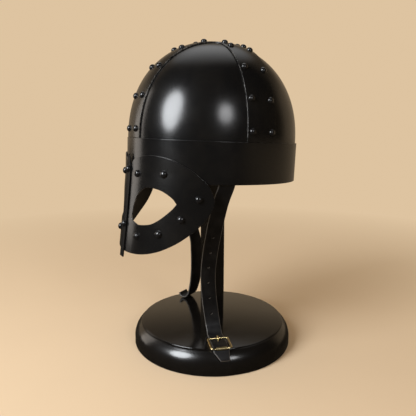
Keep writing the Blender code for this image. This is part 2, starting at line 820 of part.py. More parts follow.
def wire(path, radius, closed):
    """Points and faces of a round wire along a path."""
    points = []
    sides = ROUND_SIDES
    count = len(path)
    for number, centre in enumerate(path):
        after = path[(number + 1) % count] if closed or number + 1 < count else centre
        before = path[number - 1] if closed or number else centre
        frame = facing(centre, (after - before).normalized())
        for side in range(sides):
            turn = 2 * math.pi * side / sides
            points.append(frame @ Vector((radius * math.cos(turn), radius * math.sin(turn), 0.0)))
    faces = grid_faces(count, sides, ring=True)
    if closed:
        last = (count - 1) * sides
        for side in range(sides):
            beside = (side + 1) % sides
            faces.append((last + side, last + beside, beside, side))
    else:
        faces.append(tuple(range(sides)))
        faces.append(tuple((count - 1) * sides + side for side in range(sides)))
    return points, faces


def buckle_frame_matrix():
    """The buckle's own frame: X runs down the strap, Z stands off it, the origin is its middle."""
    out, aside = heading_axes()
    upper = strap_rest_height() + STRAP_THICKNESS / 2 + FIT + BUCKLE_WIRE
    over = LEFT_OVER_EDGE[3]
    lower_reach = BASE_TOP_RADIUS + BASE_EDGE_REACH * over[0]
    sleeve = BUCKLE_WIRE + 2 * FIT + SLEEVE_WALL
    lower = strap_rest_height() - BASE_EDGE_REACH * over[1] + STRAP_THICKNESS / 2 + sleeve + BUCKLE_LIFT
    slope = math.asin((upper - lower) / BUCKLE_LENGTH)
    middle = out * (lower_reach - BUCKLE_LENGTH / 2 * math.cos(slope))
    middle += aside * LEFT_HANG[-1][2] * STRAP_WIDTH
    middle.z = (upper + lower) / 2
    down = out * math.cos(slope) - Vector((0.0, 0.0, math.sin(slope)))
    turn = Matrix((down, aside, down.cross(aside))).transposed().to_4x4()
    return Matrix.Translation(middle) @ turn


def make_buckle_frame(material):
    half_x = BUCKLE_LENGTH / 2
    half_y = BUCKLE_WIDTH / 2
    path = []
    for corner, (x, y) in enumerate(((1, 1), (-1, 1), (-1, -1), (1, -1))):
        for step in range(CORNER_STEPS + 1):
            turn = math.pi / 2 * (corner + step / CORNER_STEPS)
            centre = Vector((x * (half_x - BUCKLE_CORNER), y * (half_y - BUCKLE_CORNER), 0.0))
            path.append(centre + BUCKLE_CORNER * Vector((math.cos(turn), math.sin(turn), 0.0)))
    points, faces = wire(path, BUCKLE_WIRE, closed=True)
    frame = add_object("buckle_frame", points, faces, material)
    frame.matrix_world = buckle_frame_matrix()


def make_buckle_sleeve(material):
    sides = ROUND_SIDES
    points = []
    for radius in (BUCKLE_WIRE + FIT, BUCKLE_WIRE + FIT + SLEEVE_WALL):
        for y in (-SLEEVE_LENGTH / 2, SLEEVE_LENGTH / 2):
            for side in range(sides):
                turn = 2 * math.pi * (side + 0.5) / sides
                size = radius / math.cos(math.pi / sides)
                x = BUCKLE_LENGTH / 2 + size * math.cos(turn)
                points.append(Vector((x, y, size * math.sin(turn))))
    faces = []
    for side in range(sides):
        beside = (side + 1) % sides
        ends = [(ring * sides + side, ring * sides + beside) for ring in (0, 1, 3, 2)]
        for (a, b), (c, d) in zip(ends, ends[1:] + ends[:1]):
            faces.append((a, b, d, c))
    sleeve = add_object("buckle_sleeve", points, faces, material)
    sleeve.matrix_world = buckle_frame_matrix()


def prong_path():
    """The prong in the buckle's frame: up through the strap, over the upper bar and a little past it."""
    over = BUCKLE_WIRE + FIT + PRONG_WIRE
    bar = -BUCKLE_LENGTH / 2
    return [Vector((bar + along * over, 0.0, height * over)) for along, height in PRONG_ROUTE]


def make_buckle_prong(material):
    points, faces = wire(prong_path(), PRONG_WIRE, closed=False)
    prong = add_object("buckle_prong", points, faces, material)
    prong.matrix_world = buckle_frame_matrix()


def main():
    clear_scene()
    iron = make_material("black_iron", (0.012, 0.012, 0.013), 0.22, 0.85)
    rivet_iron = make_material("rivet_iron", (0.014, 0.014, 0.015), 0.18, 0.9)
    wood = make_material("black_lacquered_wood", (0.012, 0.011, 0.010), 0.15, 0.0)
    leather = make_material("black_leather", (0.014, 0.013, 0.013), 0.5, 0.0)
    brass = make_material("brass", (0.72, 0.53, 0.22), 0.28, 1.0)
    helmet = bpy.data.objects.new("helmet_frame", None)
    bpy.context.scene.collection.objects.link(helmet)
    helmet.matrix_world = helmet_frame_matrix()
    make_skull(iron, helmet)
    make_brow_band(iron, helmet)
    make_ridge_band(iron, helmet)
    make_side_band("left_side_band", 1, iron, helmet)
    make_side_band("right_side_band", -1, iron, helmet)
    make_eye_guard(iron, helmet)
    make_nasal_bar(iron, helmet)
    make_guard_rivets(rivet_iron, helmet)
    make_stand_base(wood)
    make_stand_post(wood)
    make_left_strap(leather)
    make_right_strap(leather)
    make_buckle_frame(brass)
    make_buckle_sleeve(brass)
    make_buckle_prong(brass)


main()
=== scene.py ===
"""Looks of a Norse iron helmet standing on its round display stand."""

import math
from functools import partial

import bmesh
import bpy
from bpy.props import FloatProperty, FloatVectorProperty, IntProperty, PointerProperty
from mathutils import Matrix, Vector


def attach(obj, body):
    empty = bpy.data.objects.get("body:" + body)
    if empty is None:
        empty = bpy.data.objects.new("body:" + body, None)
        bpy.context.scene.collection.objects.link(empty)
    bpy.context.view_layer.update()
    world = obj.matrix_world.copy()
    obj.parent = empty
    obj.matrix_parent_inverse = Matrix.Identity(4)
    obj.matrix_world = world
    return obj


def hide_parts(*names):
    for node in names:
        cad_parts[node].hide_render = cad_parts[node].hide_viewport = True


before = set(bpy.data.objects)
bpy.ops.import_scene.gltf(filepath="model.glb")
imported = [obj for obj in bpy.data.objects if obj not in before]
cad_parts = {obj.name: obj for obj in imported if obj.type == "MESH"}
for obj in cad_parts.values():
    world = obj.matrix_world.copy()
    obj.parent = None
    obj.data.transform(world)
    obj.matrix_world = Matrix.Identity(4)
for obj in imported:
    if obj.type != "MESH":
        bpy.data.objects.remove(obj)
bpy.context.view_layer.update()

bl_info = {
    "name": "Norse iron helmet on its stand",
    "version": (1, 0, 0),
    "blender": (4, 5, 0),
    "location": "3D View > Sidebar > Helmet",
    "description": "Builds the finished surfaces of a riveted helmet, its chin strap and its stand",
    "category": "Add Mesh",
}

# Rivet rows on the bands: degrees of rise from the brow towards the crown
RIDGE_RIVET_RISES = (4.3, 22.6, 43.2, 62.6, 78.7)
SIDE_RIVET_RISES = (4.8, 22.1, 42.9, 66.7, 75.8)

# Straight foot of a domed head as a share of its rise
RIVET_SKIRT = 0.06

# Outer edge of one half of the eye guard: share of the reach, share of the height
GUARD_EDGE = (
    (0.000, 0.123), (0.110, 0.052), (0.245, 0.016), (0.382, 0.000), (0.514, 0.010),
    (0.628, 0.037), (0.717, 0.077), (0.804, 0.128), (0.871, 0.183), (0.932, 0.241),
    (0.973, 0.312), (1.000, 0.391), (0.992, 0.454), (0.968, 0.517), (0.906, 0.618),
    (0.818, 0.712), (0.715, 0.801), (0.603, 0.872), (0.505, 0.918), (0.382, 0.955),
    (0.234, 0.978), (0.000, 0.990),
)

# Edge of the eye hole in the same shares, from its outer tip round to the tip again
EYE_EDGE = (
    (0.673, 0.437), (0.636, 0.489), (0.570, 0.555), (0.498, 0.613), (0.414, 0.657),
    (0.279, 0.681), (0.216, 0.671), (0.145, 0.640), (0.151, 0.546), (0.168, 0.480),
    (0.217, 0.390), (0.321, 0.313), (0.415, 0.307), (0.523, 0.327), (0.624, 0.382),
    (0.673, 0.437),
)
EYE_CENTRE = (0.400, 0.500)

# Rivets of one half of the eye guard in the same shares, and of the nasal bar in its length
GUARD_RIVETS = (
    (0.189, 0.187), (0.532, 0.168), (0.865, 0.382),
    (0.724, 0.578), (0.525, 0.737), (0.261, 0.793),
)
NASAL_RIVETS = (0.148, 0.678)

# Rows of the nasal bar: its first drop as a share of its length, and how they thin out
NASAL_START = 0.004
NASAL_ROW_POWER = 1.3

# Left strap as it hangs: share of the fall from the rim to the stand, share of the
# seat's distance from the axis, sway along the strap's width in strap widths
LEFT_HANG = (
    (0.126, 0.915, -0.500), (0.350, 0.750, -0.780), (0.505, 0.630, -0.865),
    (0.620, 0.555, -0.860), (0.765, 0.505, -0.725), (0.880, 0.490, -0.565),
    (0.945, 0.510, -0.480), (0.978, 0.560, -0.450),
)

# Left strap over the stand's edge: shares of the edge's rounding, out and down
LEFT_OVER_EDGE = (
    (-1.20, 0.00), (-0.10, 0.00), (0.12, 0.03), (0.40, 0.38),
    (0.74, 0.66), (1.02, 0.86), (1.24, 1.02),
)

# The stop of that route above which the buckle's lower bar lies
LOWER_BAR_STOP = 3

# How much of each half of the left strap's width its slanted tip loses
TIP_SLANT = (0.72, 0.12)

# Right strap: share of the fall, share of the seat's distance from the axis towards -X,
# place along Y in strap widths, turn of the strap's width in degrees from the Y axis
RIGHT_HANG = (
    (0.150, 0.950, -0.800, -8.0), (0.320, 0.870, -0.100, -8.0), (0.500, 0.790, 0.450, -8.0),
    (0.620, 0.765, 0.520, -8.0), (0.760, 0.765, 0.520, -9.0), (0.860, 0.780, 0.460, -12.0),
    (0.925, 0.800, 0.360, -16.0), (0.965, 0.825, 0.270, -22.0), (0.990, 0.865, 0.160, -27.0),
    (1.000, 0.920, 0.020, -30.0), (0.996, 0.965, -0.090, -30.0), (0.974, 0.995, -0.170, -30.0),
)

# Prong from the hole in the strap and over the upper bar: distance from the bar and height
# above it, both as shares of the height at which the prong passes over the bar
PRONG_ROUTE = (
    (1.77, -1.13), (1.77, 0.00), (1.42, 0.70), (0.35, 1.00), (-0.35, 1.00), (-1.39, 0.85),
)
PRONG_TAPER = 0.35
PRONG_TAPER_POWER = 3

# Bead of the stand's base: shares of its width from the outside in, and where it takes over
BEAD_PARTS = (1.0, 0.6, 0.2)
BEAD_REACH = 1.3

# How finely the curved surfaces are divided
SKULL_TURNS = 192
SKULL_RISES = 44
BROW_TURNS = 240
RIDGE_STEPS = 140
SIDE_STEPS = 56
SIDE_STEP_POWER = 1.5
RIDGE_COLUMNS = 8
SIDE_COLUMNS = 16
GUARD_ANGLES = 200
GUARD_RINGS = 14
OUTLINE_STEPS = 8
NASAL_ROWS = 60
NASAL_COLUMNS = 6
RIVET_SIDES = 24
RIVET_RINGS = 7
STRAP_STEPS = 12
STRAP_CORNER_STEPS = 3
WIRE_SIDES = 20
CORNER_STEPS = 8
PRONG_STEPS = 6
BASE_SIDES = 192
BASE_EDGE_STEPS = 20
BEVEL_STEPS = 4
REST_SIDES = 96
REST_RINGS = 14
HOLE_SIDES = 24
FLOOR_SIDES = 64

# Widths of the softened edges, and angles in degrees from which edges are softened or sharp
BROW_BEVEL = 0.0004
SHEET_BEVEL = 0.0003
NASAL_BEVEL = 0.00025
POST_BEVEL = 0.0005
BEVEL_ANGLE = 50
SHARP_ANGLE = 35
BASE_SHARP_ANGLE = 30

# Fine steps and tolerances of the calculations
BISECTIONS = 44
TINY = 1e-12
SLACK = 1e-6
WELD_SCALE = 1e5
NUDGE = 0.002

# Iron: two colours, lowest and highest roughness, depth of the bumps, specular level
IRONS = {
    "blackened_iron": ("iron", "iron_warm", 0.19, 0.24, 1.0, 0.5),
    "iron_inner_face": ("inside", "iron_warm", 0.42, 0.60, 1.6, 0.5),
    "domed_rivet_iron": ("rivet", "rivet", 0.08, 0.13, 0.3, 0.5),
    "dull_nasal_iron": ("iron", "iron_warm", 0.26, 0.34, 1.0, 0.12),
}

# Area lights: name, power setting, turn and rise in degrees and distance from the point
# that they are aimed at, width, height, tint
LIGHTS = (
    ("soft_key", "key_power", 12, 26, 1.5, 0.80, 1.00, (0.93, 0.965, 1.0)),
    ("soft_side", "side_power", 92, 22, 1.6, 0.44, 0.46, (0.97, 0.98, 1.0)),
    ("left_strip", "stripe_power", -50, 4, 1.3, 0.45, 1.4, (1.0, 0.93, 0.86)),
)
LIGHT_AIM = (0.05, -0.05, 0.30)

# Fades: where one starts and ends, and its values there. The wall's glow fades towards the
# camera's side and upwards, and the ceiling's round a point at a rise behind the object
WALL_FADE = (-0.42, -0.20, 0.54, 0.008)
WALL_RISE_FADE = (0.32, 0.52, 1.0, 0.35)
CEILING_FADE = (0.86, 1.0, 0.0, 1.8)
CEILING_RISE = 64
TINT_FADE = (0.0, 0.6, 0.0, 1.0)
DIFFUSE_GLOW = 0.55

# The same four for the floor: its gleam fades towards a turn, its own look with the distance
GLEAM_FADE = (-1.1, -0.2, 0.42, 0.05)
GLEAM_TURN = 15
FLOOR_FADE = (0.16, 1.10, 0.0, 1.0)

# The same four for the roughness of the base's lacquer, by height
LACQUER_FADE = (0.0296, 0.0312, 0.22, 0.11)

UP = (0.0, 0.0, 1.0)


def size(name, default, description):
    return FloatProperty(
        name=name, description=description, default=default, unit="LENGTH", precision=4, min=0.0
    )


def angle(name, degrees, description):
    default = math.radians(degrees)
    return FloatProperty(name=name, description=description, default=default, subtype="ANGLE")


def share(name, default, description):
    return FloatProperty(name=name, description=description, default=default)


def watts(name, default, description):
    return FloatProperty(name=name, description=description, default=default, unit="POWER")


def colour(name, default, description):
    return FloatVectorProperty(
        name=name,
        description=description,
        default=default,
        subtype="COLOR",
        size=3,
        min=0.0,
        max=1.0,
    )


class HelmetShellSizes(bpy.types.PropertyGroup):
    """Sizes of the skull and the brow band"""

    half_length: size("Half length", 0.1140, "Half the skull's length at the brow")
    half_width: size("Half width", 0.1016, "Half the skull's width at the brow")
    height: size("Height", 0.1253, "Skull above the brow band's top edge")
    plan_power: share("Plan roundness", 2.10, "Power of the outline seen from above")
    rise_power: share("Side roundness", 2.156, "Power of the outline seen from the side")
    skirt: size("Skirt", 0.0160, "Skull hidden inside the brow band")
    wall: size("Wall", 0.0015, "Sheet thickness")
    lean: angle("Lean", 2.2, "How far the front is raised")
    brow_top: size("Brow top height", 0.2884, "Brow band's top edge above the ground")
    brow_height: size("Brow height", 0.0502, "Height of the brow band")
    fit: size("Fit", 0.0003, "Gap between sheets that touch")


class HelmetBandSizes(bpy.types.PropertyGroup):
    """Sizes of the crossing bands and their rivets"""

    wall: size("Wall", 0.0015, "Sheet thickness")
    ridge_half_width: size("Ridge half width", 0.0203, "Half the front-to-back band")
    side_half_width: size("Side half width", 0.0206, "Half a side band")
    side_back: size("Side band set back", 0.0105, "Side bands behind the middle")
    fillet: size("Crown fillet", 0.0080, "Rounding where the bands cross")
    ridge_rivet_offset: size("Ridge rivet offset", 0.0115, "Rivets from the band's middle")
    side_rivet_offset: size("Side rivet offset", 0.0141, "Rivets from the band's middle")
    rivet_radius: size("Rivet radius", 0.0041, "Radius of a domed head")
    rivet_rise: size("Rivet rise", 0.0034, "Height of a domed head")


class HelmetGuardSizes(bpy.types.PropertyGroup):
    """Sizes of the eye guard and the nasal bar"""

    fit: size("Fit", 0.0006, "Gap between the brow band and the guard")
    wall: size("Wall", 0.0015, "Sheet thickness")
    reach: angle("Reach", 66.7, "Turn round the brow from the nose to the guard's end")
    top_drop: size("Top drop", 0.0195, "Guard's top below the brow band's top edge")
    height: size("Height", 0.1255, "Guard from top to bottom")
    flare: size("Flare", 0.0083, "How far the guard's bottom stands forwards")
    flare_start: size("Flare start", 0.0380, "Drop at which the flare begins")
    flare_power: share("Flare power", 1.2, "How gently the flare begins")
    rivet_radius: size("Rivet radius", 0.0045, "Radius of a domed head")
    rivet_rise: size("Rivet rise", 0.0036, "Height of a domed head")
    nasal_half_width: size("Nasal half width", 0.0058, "Half the nasal bar's width")
    nasal_point: size("Nasal point", 0.0150, "Length of the nasal bar's point")
    nasal_point_power: share("Nasal point power", 0.7, "How blunt the nasal bar's point is")
    nasal_length: size("Nasal length", 0.1320, "Length of the nasal bar")
    nasal_wall: size("Nasal wall", 0.0015, "Thickness of the nasal bar")


class HelmetStrapSizes(bpy.types.PropertyGroup):
    """Sizes of the two halves of the chin strap"""

    width: size("Width", 0.0200, "Width of the strap")
    thickness: size("Thickness", 0.0022, "Thickness of the leather")
    tip: size("Tip", 0.0120, "Length of the left strap's slanted tip")
    edge_radius: size("Edge radius", 0.0007, "Rounding of the strap's edges")
    seat_turn: angle("Seat turn", 74.0, "Turn from the front at which a strap is held")
    seat_length: size("Seat length", 0.0260, "Strap that lies inside the brow band")
    seat_fit: size("Seat fit", 0.0009, "Gap between strap and brow band")
    heading: angle("Heading", -17.0, "Direction in which the left strap leaves the stand")
    landing: size("Landing", 0.0055, "Bend where the left strap meets the stand")
    punch_radius: size("Hole radius", 0.0015, "Radius of a punched hole")
    punch_spacing: size("Hole spacing", 0.0235, "Distance between punched holes")
    punch_first: size("First hole", 0.0740, "First hole below the rim")
    punch_count: IntProperty(name="Holes", description="Punched holes above the buckle", default=6)


class HelmetBuckleSizes(bpy.types.PropertyGroup):
    """Sizes of the buckle"""

    width: size("Width", 0.0262, "Buckle across the strap")
    length: size("Length", 0.0262, "Buckle along the strap")
    corner: size("Corner", 0.0030, "Radius of the frame's corners")
    wire: size("Wire radius", 0.0012, "Radius of the frame's wire")
    lift: size("Lift", 0.0021, "How far the lower bar stands off the leather")
    sleeve_length: size("Sleeve length", 0.0130, "Length of the sleeve on the lower bar")
    sleeve_wall: size("Sleeve wall", 0.0006, "Thickness of the sleeve")
    prong_wire: size("Prong wire radius", 0.0011, "Radius of the prong's wire")


class HelmetStandSizes(bpy.types.PropertyGroup):
    """Sizes of the display stand"""

    base_radius: size("Base radius", 0.1123, "Radius of the round base")
    top_radius: size("Top radius", 0.1017, "Radius of the base's flat top")
    height: size("Base height", 0.0318, "Height of the base")
    step: size("Step", 0.0016, "Small step between the top and the rounding")
    top_bevel: size("Top bevel", 0.0011, "Softened edge of the top")
    bead: size("Bead", 0.0015, "Small bead where the rounding meets the step")
    round_centre: size("Widest height", 0.0100, "Height at which the base is widest")
    foot_bevel: size("Foot bevel", 0.0015, "Bevel at the ground")
    post_side: size("Post side", 0.0262, "Side of the square post")
    post_chamfer: size("Post chamfer", 0.0020, "Chamfer of the post's corners")
    rest_reach: share("Rest reach", 0.42, "Rest's radius as a share of the skull's")
    rest_depth: size("Rest depth", 0.0140, "Height of the rest's straight side")
    rest_fit: size("Rest fit", 0.0012, "Gap between the rest and the skull")


class HelmetFinishes(bpy.types.PropertyGroup):
    """Colours of the finishes"""

    iron: colour("Iron", (0.0038, 0.0038, 0.0040), "Blackened sheet iron")
    iron_warm: colour("Worn iron", (0.0056, 0.0052, 0.0048), "Browner patches of the iron")
    # Sheet edge colour: rubbed-thin blackening, made light grey so that it also paints a highlight
    # along the sheets' edges
    edge_wear_and_highlight: colour("Sheet edge", (0.210, 0.205, 0.200), "Dressed edges of the sheets")
    inside: colour("Inside", (0.010, 0.008, 0.006), "Unpolished inner faces")
    rivet: colour("Rivets", (0.0070, 0.0070, 0.0075), "Domed rivet heads")
    lacquer: colour("Lacquer", (0.0060, 0.0052, 0.0046), "Black lacquered wood")
    leather: colour("Leather", (0.0050, 0.0048, 0.0050), "Face of the strap")
    leather_edge: colour("Leather edge", (0.140, 0.134, 0.126), "Cut edge of the strap")
    brass: colour("Brass", (0.79, 0.64, 0.33), "Polished brass")
    brass_dull: colour("Dull brass", (0.45, 0.36, 0.18), "Duller brass of the sleeve")


class HelmetStudio(bpy.types.PropertyGroup):
    """Camera, floor and lights"""

    floor: colour("Floor", (0.69, 0.535, 0.365), "Pale floor")
    wall: colour("Surroundings", (0.73, 0.55, 0.355), "Pale surroundings seen past the object")
    ceiling: colour("Ceiling", (0.64, 0.64, 0.64), "Soft ceiling that the gloss catches")
    lens: share("Lens", 38.81, "Focal length in mm")
    camera: FloatVectorProperty(
        name="Camera place",
        description="Where the camera stands",
        default=(0.54674, -0.29795, 0.30860),
        subtype="TRANSLATION",
        size=3,
    )
    heading: angle("Camera heading", 61.764, "Turn of the camera about the vertical")
    tilt: angle("Camera tilt", 10.481, "How far the camera looks down")
    roll: angle("Camera roll", 0.255, "Turn of the camera about its own axis")
    shift: share("Camera shift", -0.0045, "Sideways shift of the camera as a share of the frame")
    floor_radius: size("Floor radius", 9.0, "Radius of the floor")
    key_power: watts("Key light", 36.0, "Power of the large soft light")
    side_power: watts("Side light", 5.2, "Power of the small soft light")
    stripe_power: watts("Strip light", 2.6, "Power of the soft strip on the left")


# Skull surface, in the helmet's own frame: the origin is in the middle of the brow's top edge


def plan_point(shell, turn, offset=0.0, stretch=0.0):
    """A point of the helmet's outline. The turn is 0 at the front and grows towards the left."""
    across = math.sin(turn)
    along = math.cos(turn)
    power = shell.plan_power
    reach = (abs(across) ** power + abs(along) ** power) ** (-1 / power)
    x = (shell.half_width + offset) * across * reach
    y = -(shell.half_length + offset + stretch) * along * reach
    return Vector((x, y, 0.0))


def dome_normal(shell, point):
    x = abs(point.x) / shell.half_width
    y = abs(point.y) / shell.half_length
    z = max(point.z, 0.0) / shell.height
    plan, rise = shell.plan_power, shell.rise_power
    outline = x**plan + y**plan
    if outline < TINY:
        return Vector(UP)
    lift = outline ** (rise / plan - 1)
    normal = (
        math.copysign(lift * x ** (plan - 1) / shell.half_width, point.x),
        math.copysign(lift * y ** (plan - 1) / shell.half_length, point.y),
        z ** (rise - 1) / shell.height,
    )
    return Vector(normal).normalized()


def on_dome(shell, turn, rise, drop, offset):
    """A point at a turn and a rise on the skull, or straight below its edge by the drop."""
    point = plan_point(shell, turn) * max(math.cos(rise), 0.0) ** (2 / shell.rise_power)
    point.z = shell.height * max(math.sin(rise), 0.0) ** (2 / shell.rise_power)
    normal = dome_normal(shell, point)
    point.z -= drop
    return point + normal * offset


def section(shell, place, rise, side_half, far_half):
    """Height and reach of the section cut through the skull at a distance from its middle."""
    power = shell.rise_power
    top = shell.height * (1 - (abs(place) / side_half) ** power) ** (1 / power)
    z = top * max(math.sin(rise), 0.0) ** (2 / power)
    ring = (1 - (z / shell.height) ** power) ** (shell.plan_power / power)
    rest = max(ring - (abs(place) / side_half) ** shell.plan_power, 0.0)
    return z, far_half * rest ** (1 / shell.plan_power)


def over_crown(shell, x, rise, offset):
    """A point on the front-to-back section at x. The rise runs from 0 at the front to pi."""
    z, reach = section(shell, x, rise, shell.half_width, shell.half_length)
    point = Vector((x, -math.copysign(reach, math.cos(rise)), z))
    return point + dome_normal(shell, point) * offset


def up_side(shell, y, rise, side, offset):
    """A point on the side-to-side section at y, on the side whose sign is given."""
    z, reach = section(shell, y, rise, shell.half_length, shell.half_width)
    point = Vector((side * reach, y, z))
    return point + dome_normal(shell, point) * offset


def helmet_matrix(shell):
    return Matrix.Translation((0.0, 0.0, shell.brow_top)) @ Matrix.Rotation(-shell.lean, 4, "X")


def lowest_rise(shell):
    """The rise at which a band's end clears the brow band's top edge."""
    return math.asin((shell.fit / shell.height) ** (shell.rise_power / 2))


def solve(measure, target, low, high):
    """The value between low and high at which a growing measure reaches the target."""
    for _ in range(BISECTIONS):
        middle = (low + high) / 2
        if measure(middle) < target:
            low = middle
        else:
            high = middle
    return (low + high) / 2


# Meshes


def grid_faces(rows, columns, ring=False):
    faces = []
    for row in range(rows - 1):
        for column in range(columns if ring else columns - 1):
            beside = (column + 1) % columns
            start = row * columns
            above = start + columns
            faces.append((start + column, start + beside, above + beside, above + column))
    return faces


def fan(first, count, tip):
    """Triangles from a ring of points, which starts at the first, to a tip."""
    return [(first + side, first + (side + 1) % count, tip) for side in range(count)]


def circle(sides, radius, height=0.0):
    turns = [2 * math.pi * side / sides for side in range(sides)]
    return [Vector((radius * math.cos(turn), radius * math.sin(turn), height)) for turn in turns]


def loft(rings, closed=False):
    """Points and faces of a solid through rings of points, closed to a loop or with flat ends."""
    count = len(rings[0])
    last = (len(rings) - 1) * count
    faces = grid_faces(len(rings), count, ring=True)
    if closed:
        for side in range(count):
            beside = (side + 1) % count
            faces.append((last + side, last + beside, beside, side))
    else:
        faces.append(tuple(reversed(range(count))))
        faces.append(tuple(range(last, last + count)))
    return [point for ring in rings for point in ring], faces


def lathe(profile, sides):
    """Points and faces of a solid turned about Z from its profile of radius and height."""
    points, faces = loft([circle(sides, *stop) for stop in profile[1:-1]])
    bottom = len(points)
    faces[-2:] = fan(0, sides, bottom) + fan(bottom - sides, sides, bottom + 1)
    return points + [Vector((0.0, 0.0, height)) for _, height in (profile[0], profile[-1])], faces


def joined(parts):
    """One list of points and one of faces for several parts, each with its own two lists."""
    points = []
    faces = []
    for part_points, part_faces in parts:
        first = len(points)
        points += part_points
        faces += [tuple(first + corner for corner in face) for face in part_faces]
    return points, faces


def add_piece(
    name, points, faces, finishes, slot, replaced, kinds=None, sharp=SHARP_ANGLE, bevel=0.0
):
    """A piece that rides on the helmet's body and stands for the CAD nodes that it replaces."""
    mesh = bpy.data.meshes.new(name)
    mesh.from_pydata([tuple(point) for point in points], [], faces)
    for material in finishes:
        mesh.materials.append(material)
    if kinds:
        mesh.polygons.foreach_set("material_index", kinds)
    work = bmesh.new()
    work.from_mesh(mesh)
    bmesh.ops.recalc_face_normals(work, faces=work.faces)
    work.to_mesh(mesh)
    work.free()
    mesh.shade_smooth()
    mesh.set_sharp_from_angle(angle=math.radians(sharp))
    piece = bpy.data.objects.new(name, mesh)
    bpy.context.scene.collection.objects.link(piece)
    if bevel:
        soften = piece.modifiers.new("softened_edges", "BEVEL")
        soften.width = bevel
        soften.segments = 2
        soften.limit_method = "ANGLE"
        soften.angle_limit = math.radians(BEVEL_ANGLE)
        soften.use_clamp_overlap = False
        soften.harden_normals = True
    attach(piece, "root")
    if replaced:
        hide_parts(*replaced)
    return piece


def sheet_mesh(outer, inner, faces):
    """A sheet between two skins with the same faces: points, faces and the kind of each face."""
    count = len(outer)
    used = {}
    for face in faces:
        for start, end in zip(face, face[1:] + face[:1]):
            key = (min(start, end), max(start, end))
            used[key] = None if key in used else (start, end)
    under = [tuple(corner + count for corner in reversed(face)) for face in faces]
    walls = [(end, start, start + count, end + count) for start, end in filter(None, used.values())]
    # The kinds are the places in iron_finishes: outside, edge, inside
    kinds = [0] * len(faces) + [2] * len(under) + [1] * len(walls)
    return outer + inner, list(faces) + under + walls, kinds


def add_sheet(name, spots, spot_at, low, wall, faces, replaced, finishes=None, bevel=0.0):
    """A sheet piece between two distances off the skull, where spot_at places each spot."""
    place = helmet_matrix(bpy.context.scene.helmet_shell)
    skins = [[place @ spot_at(*spot, offset) for spot in spots] for offset in (low + wall, low)]
    points, faces, kinds = sheet_mesh(*skins, faces)
    finishes = finishes or iron_finishes()
    add_piece(name, points, faces, finishes, "black_iron", replaced, kinds, bevel=bevel)


def weld(spots, keys, faces):
    """Merges the spots that share a key, and returns the spots and the faces that are left."""
    first = {}
    kept = []
    moved = []
    for spot, key in zip(spots, keys):
        if key not in first:
            first[key] = len(kept)
            kept.append(spot)
        moved.append(first[key])
    welded = [tuple(moved[corner] for corner in face) for face in faces]
    return kept, [face for face in welded if len(set(face)) == len(face)]


def facing(point, normal):
    """A frame at the point whose Z axis is the normal."""
    return Matrix.Translation(point) @ normal.to_track_quat("Z", "Y").to_matrix().to_4x4()


def rivet_heads(seats, radius, rise, sink):
    """Points and faces of a domed head, with a short skirt, on each seat."""
    rings = [circle(RIVET_SIDES, radius, height) for height in (-sink, RIVET_SKIRT * rise)]
    for ring in range(1, RIVET_RINGS):
        turn = ring / RIVET_RINGS * math.pi / 2
        height = rise * (RIVET_SKIRT + (1 - RIVET_SKIRT) * math.sin(turn))
        rings.append(circle(RIVET_SIDES, radius * math.cos(turn), height))
    points, faces = loft(rings)
    faces[-1:] = fan(len(points) - RIVET_SIDES, RIVET_SIDES, len(points))
    points.append(Vector((0.0, 0.0, rise)))
    return joined([([seat @ point for point in points], faces) for seat in seats])


def smooth_path(stops, steps):
    """A smooth curve through the stops, each a list of numbers, as a list of such lists."""
    ends = [stops[0]] + list(stops) + [stops[-1]]
    path = []
    for nearby in zip(ends, ends[1:], ends[2:], ends[3:]):
        for step in range(steps):
            t = step / steps
            row = []
            for a, b, c, d in zip(*nearby):
                bend = 2 * a - 5 * b + 4 * c - d + t * (3 * (b - c) + d - a)
                row.append(b + 0.5 * t * (c - a + t * bend))
            path.append(row)
    path.append(list(stops[-1]))
    return path


def wire(path, radii, closed):
    """Points and faces of a round wire along a path, with a radius at each stop."""
    rings = []
    count = len(path)
    for number, centre in enumerate(path):
        after = path[(number + 1) % count] if closed or number + 1 < count else centre
        before = path[number - 1] if closed or number else centre
        seat = facing(centre, (after - before).normalized())
        rings.append([seat @ point for point in circle(WIRE_SIDES, radii[number])])
    return loft(rings, closed)


def rounded_corners(half_x, half_y, radius, steps):
    """Points round a rectangle with rounded corners."""
    ring = []
    for corner, (x, y) in enumerate(((1, 1), (-1, 1), (-1, -1), (1, -1))):
        for step in range(steps + 1):
            turn = math.pi / 2 * (corner + step / steps)
            across = x * (half_x - radius) + radius * math.cos(turn)
            ring.append((across, y * (half_y - radius) + radius * math.sin(turn)))
    return ring


# Nodes


def feed(tree, socket, value):
    """Links a socket to another node's output, or sets it to a value."""
    if isinstance(value, bpy.types.NodeSocket):
        tree.links.new(value, socket)
    else:
        socket.default_value = value


def node(tree, kind, result, inputs, **settings):
    """Adds a node with its settings and inputs, and returns one of its outputs."""
    made = tree.nodes.new("ShaderNode" + kind)
    for name, value in settings.items():
        setattr(made, name, value)
    for name, value in inputs.items():
        feed(tree, made.inputs[name], value)
    return made.outputs[result]


def start_finish(name):
    made = bpy.data.materials.new(name)
    made.use_nodes = True
    tree = made.node_tree
    return made, tree, tree.nodes["Principled BSDF"], node(tree, "TexCoord", "Object", {})


def surface(tree, shader, colours, roughness, bumps):
    for name, value in (("Base Color", colours), ("Roughness", roughness), ("Normal", bumps)):
        feed(tree, shader.inputs[name], value)


def stretched(tree, place, stretch):
    return node(tree, "Mapping", "Vector", {"Vector": place, "Scale": stretch})


def noise(tree, place, scale, detail=3.0, roughness=0.5, distortion=0.0):
    inputs = {"Vector": place, "Scale": scale, "Detail": detail}
    inputs |= {"Roughness": roughness, "Distortion": distortion}
    return node(tree, "TexNoise", "Fac", inputs)


def cells(tree, place, scale):
    inputs = {"Vector": place, "Scale": scale, "Smoothness": 0.6}
    return node(tree, "TexVoronoi", "Distance", inputs, feature="SMOOTH_F1")


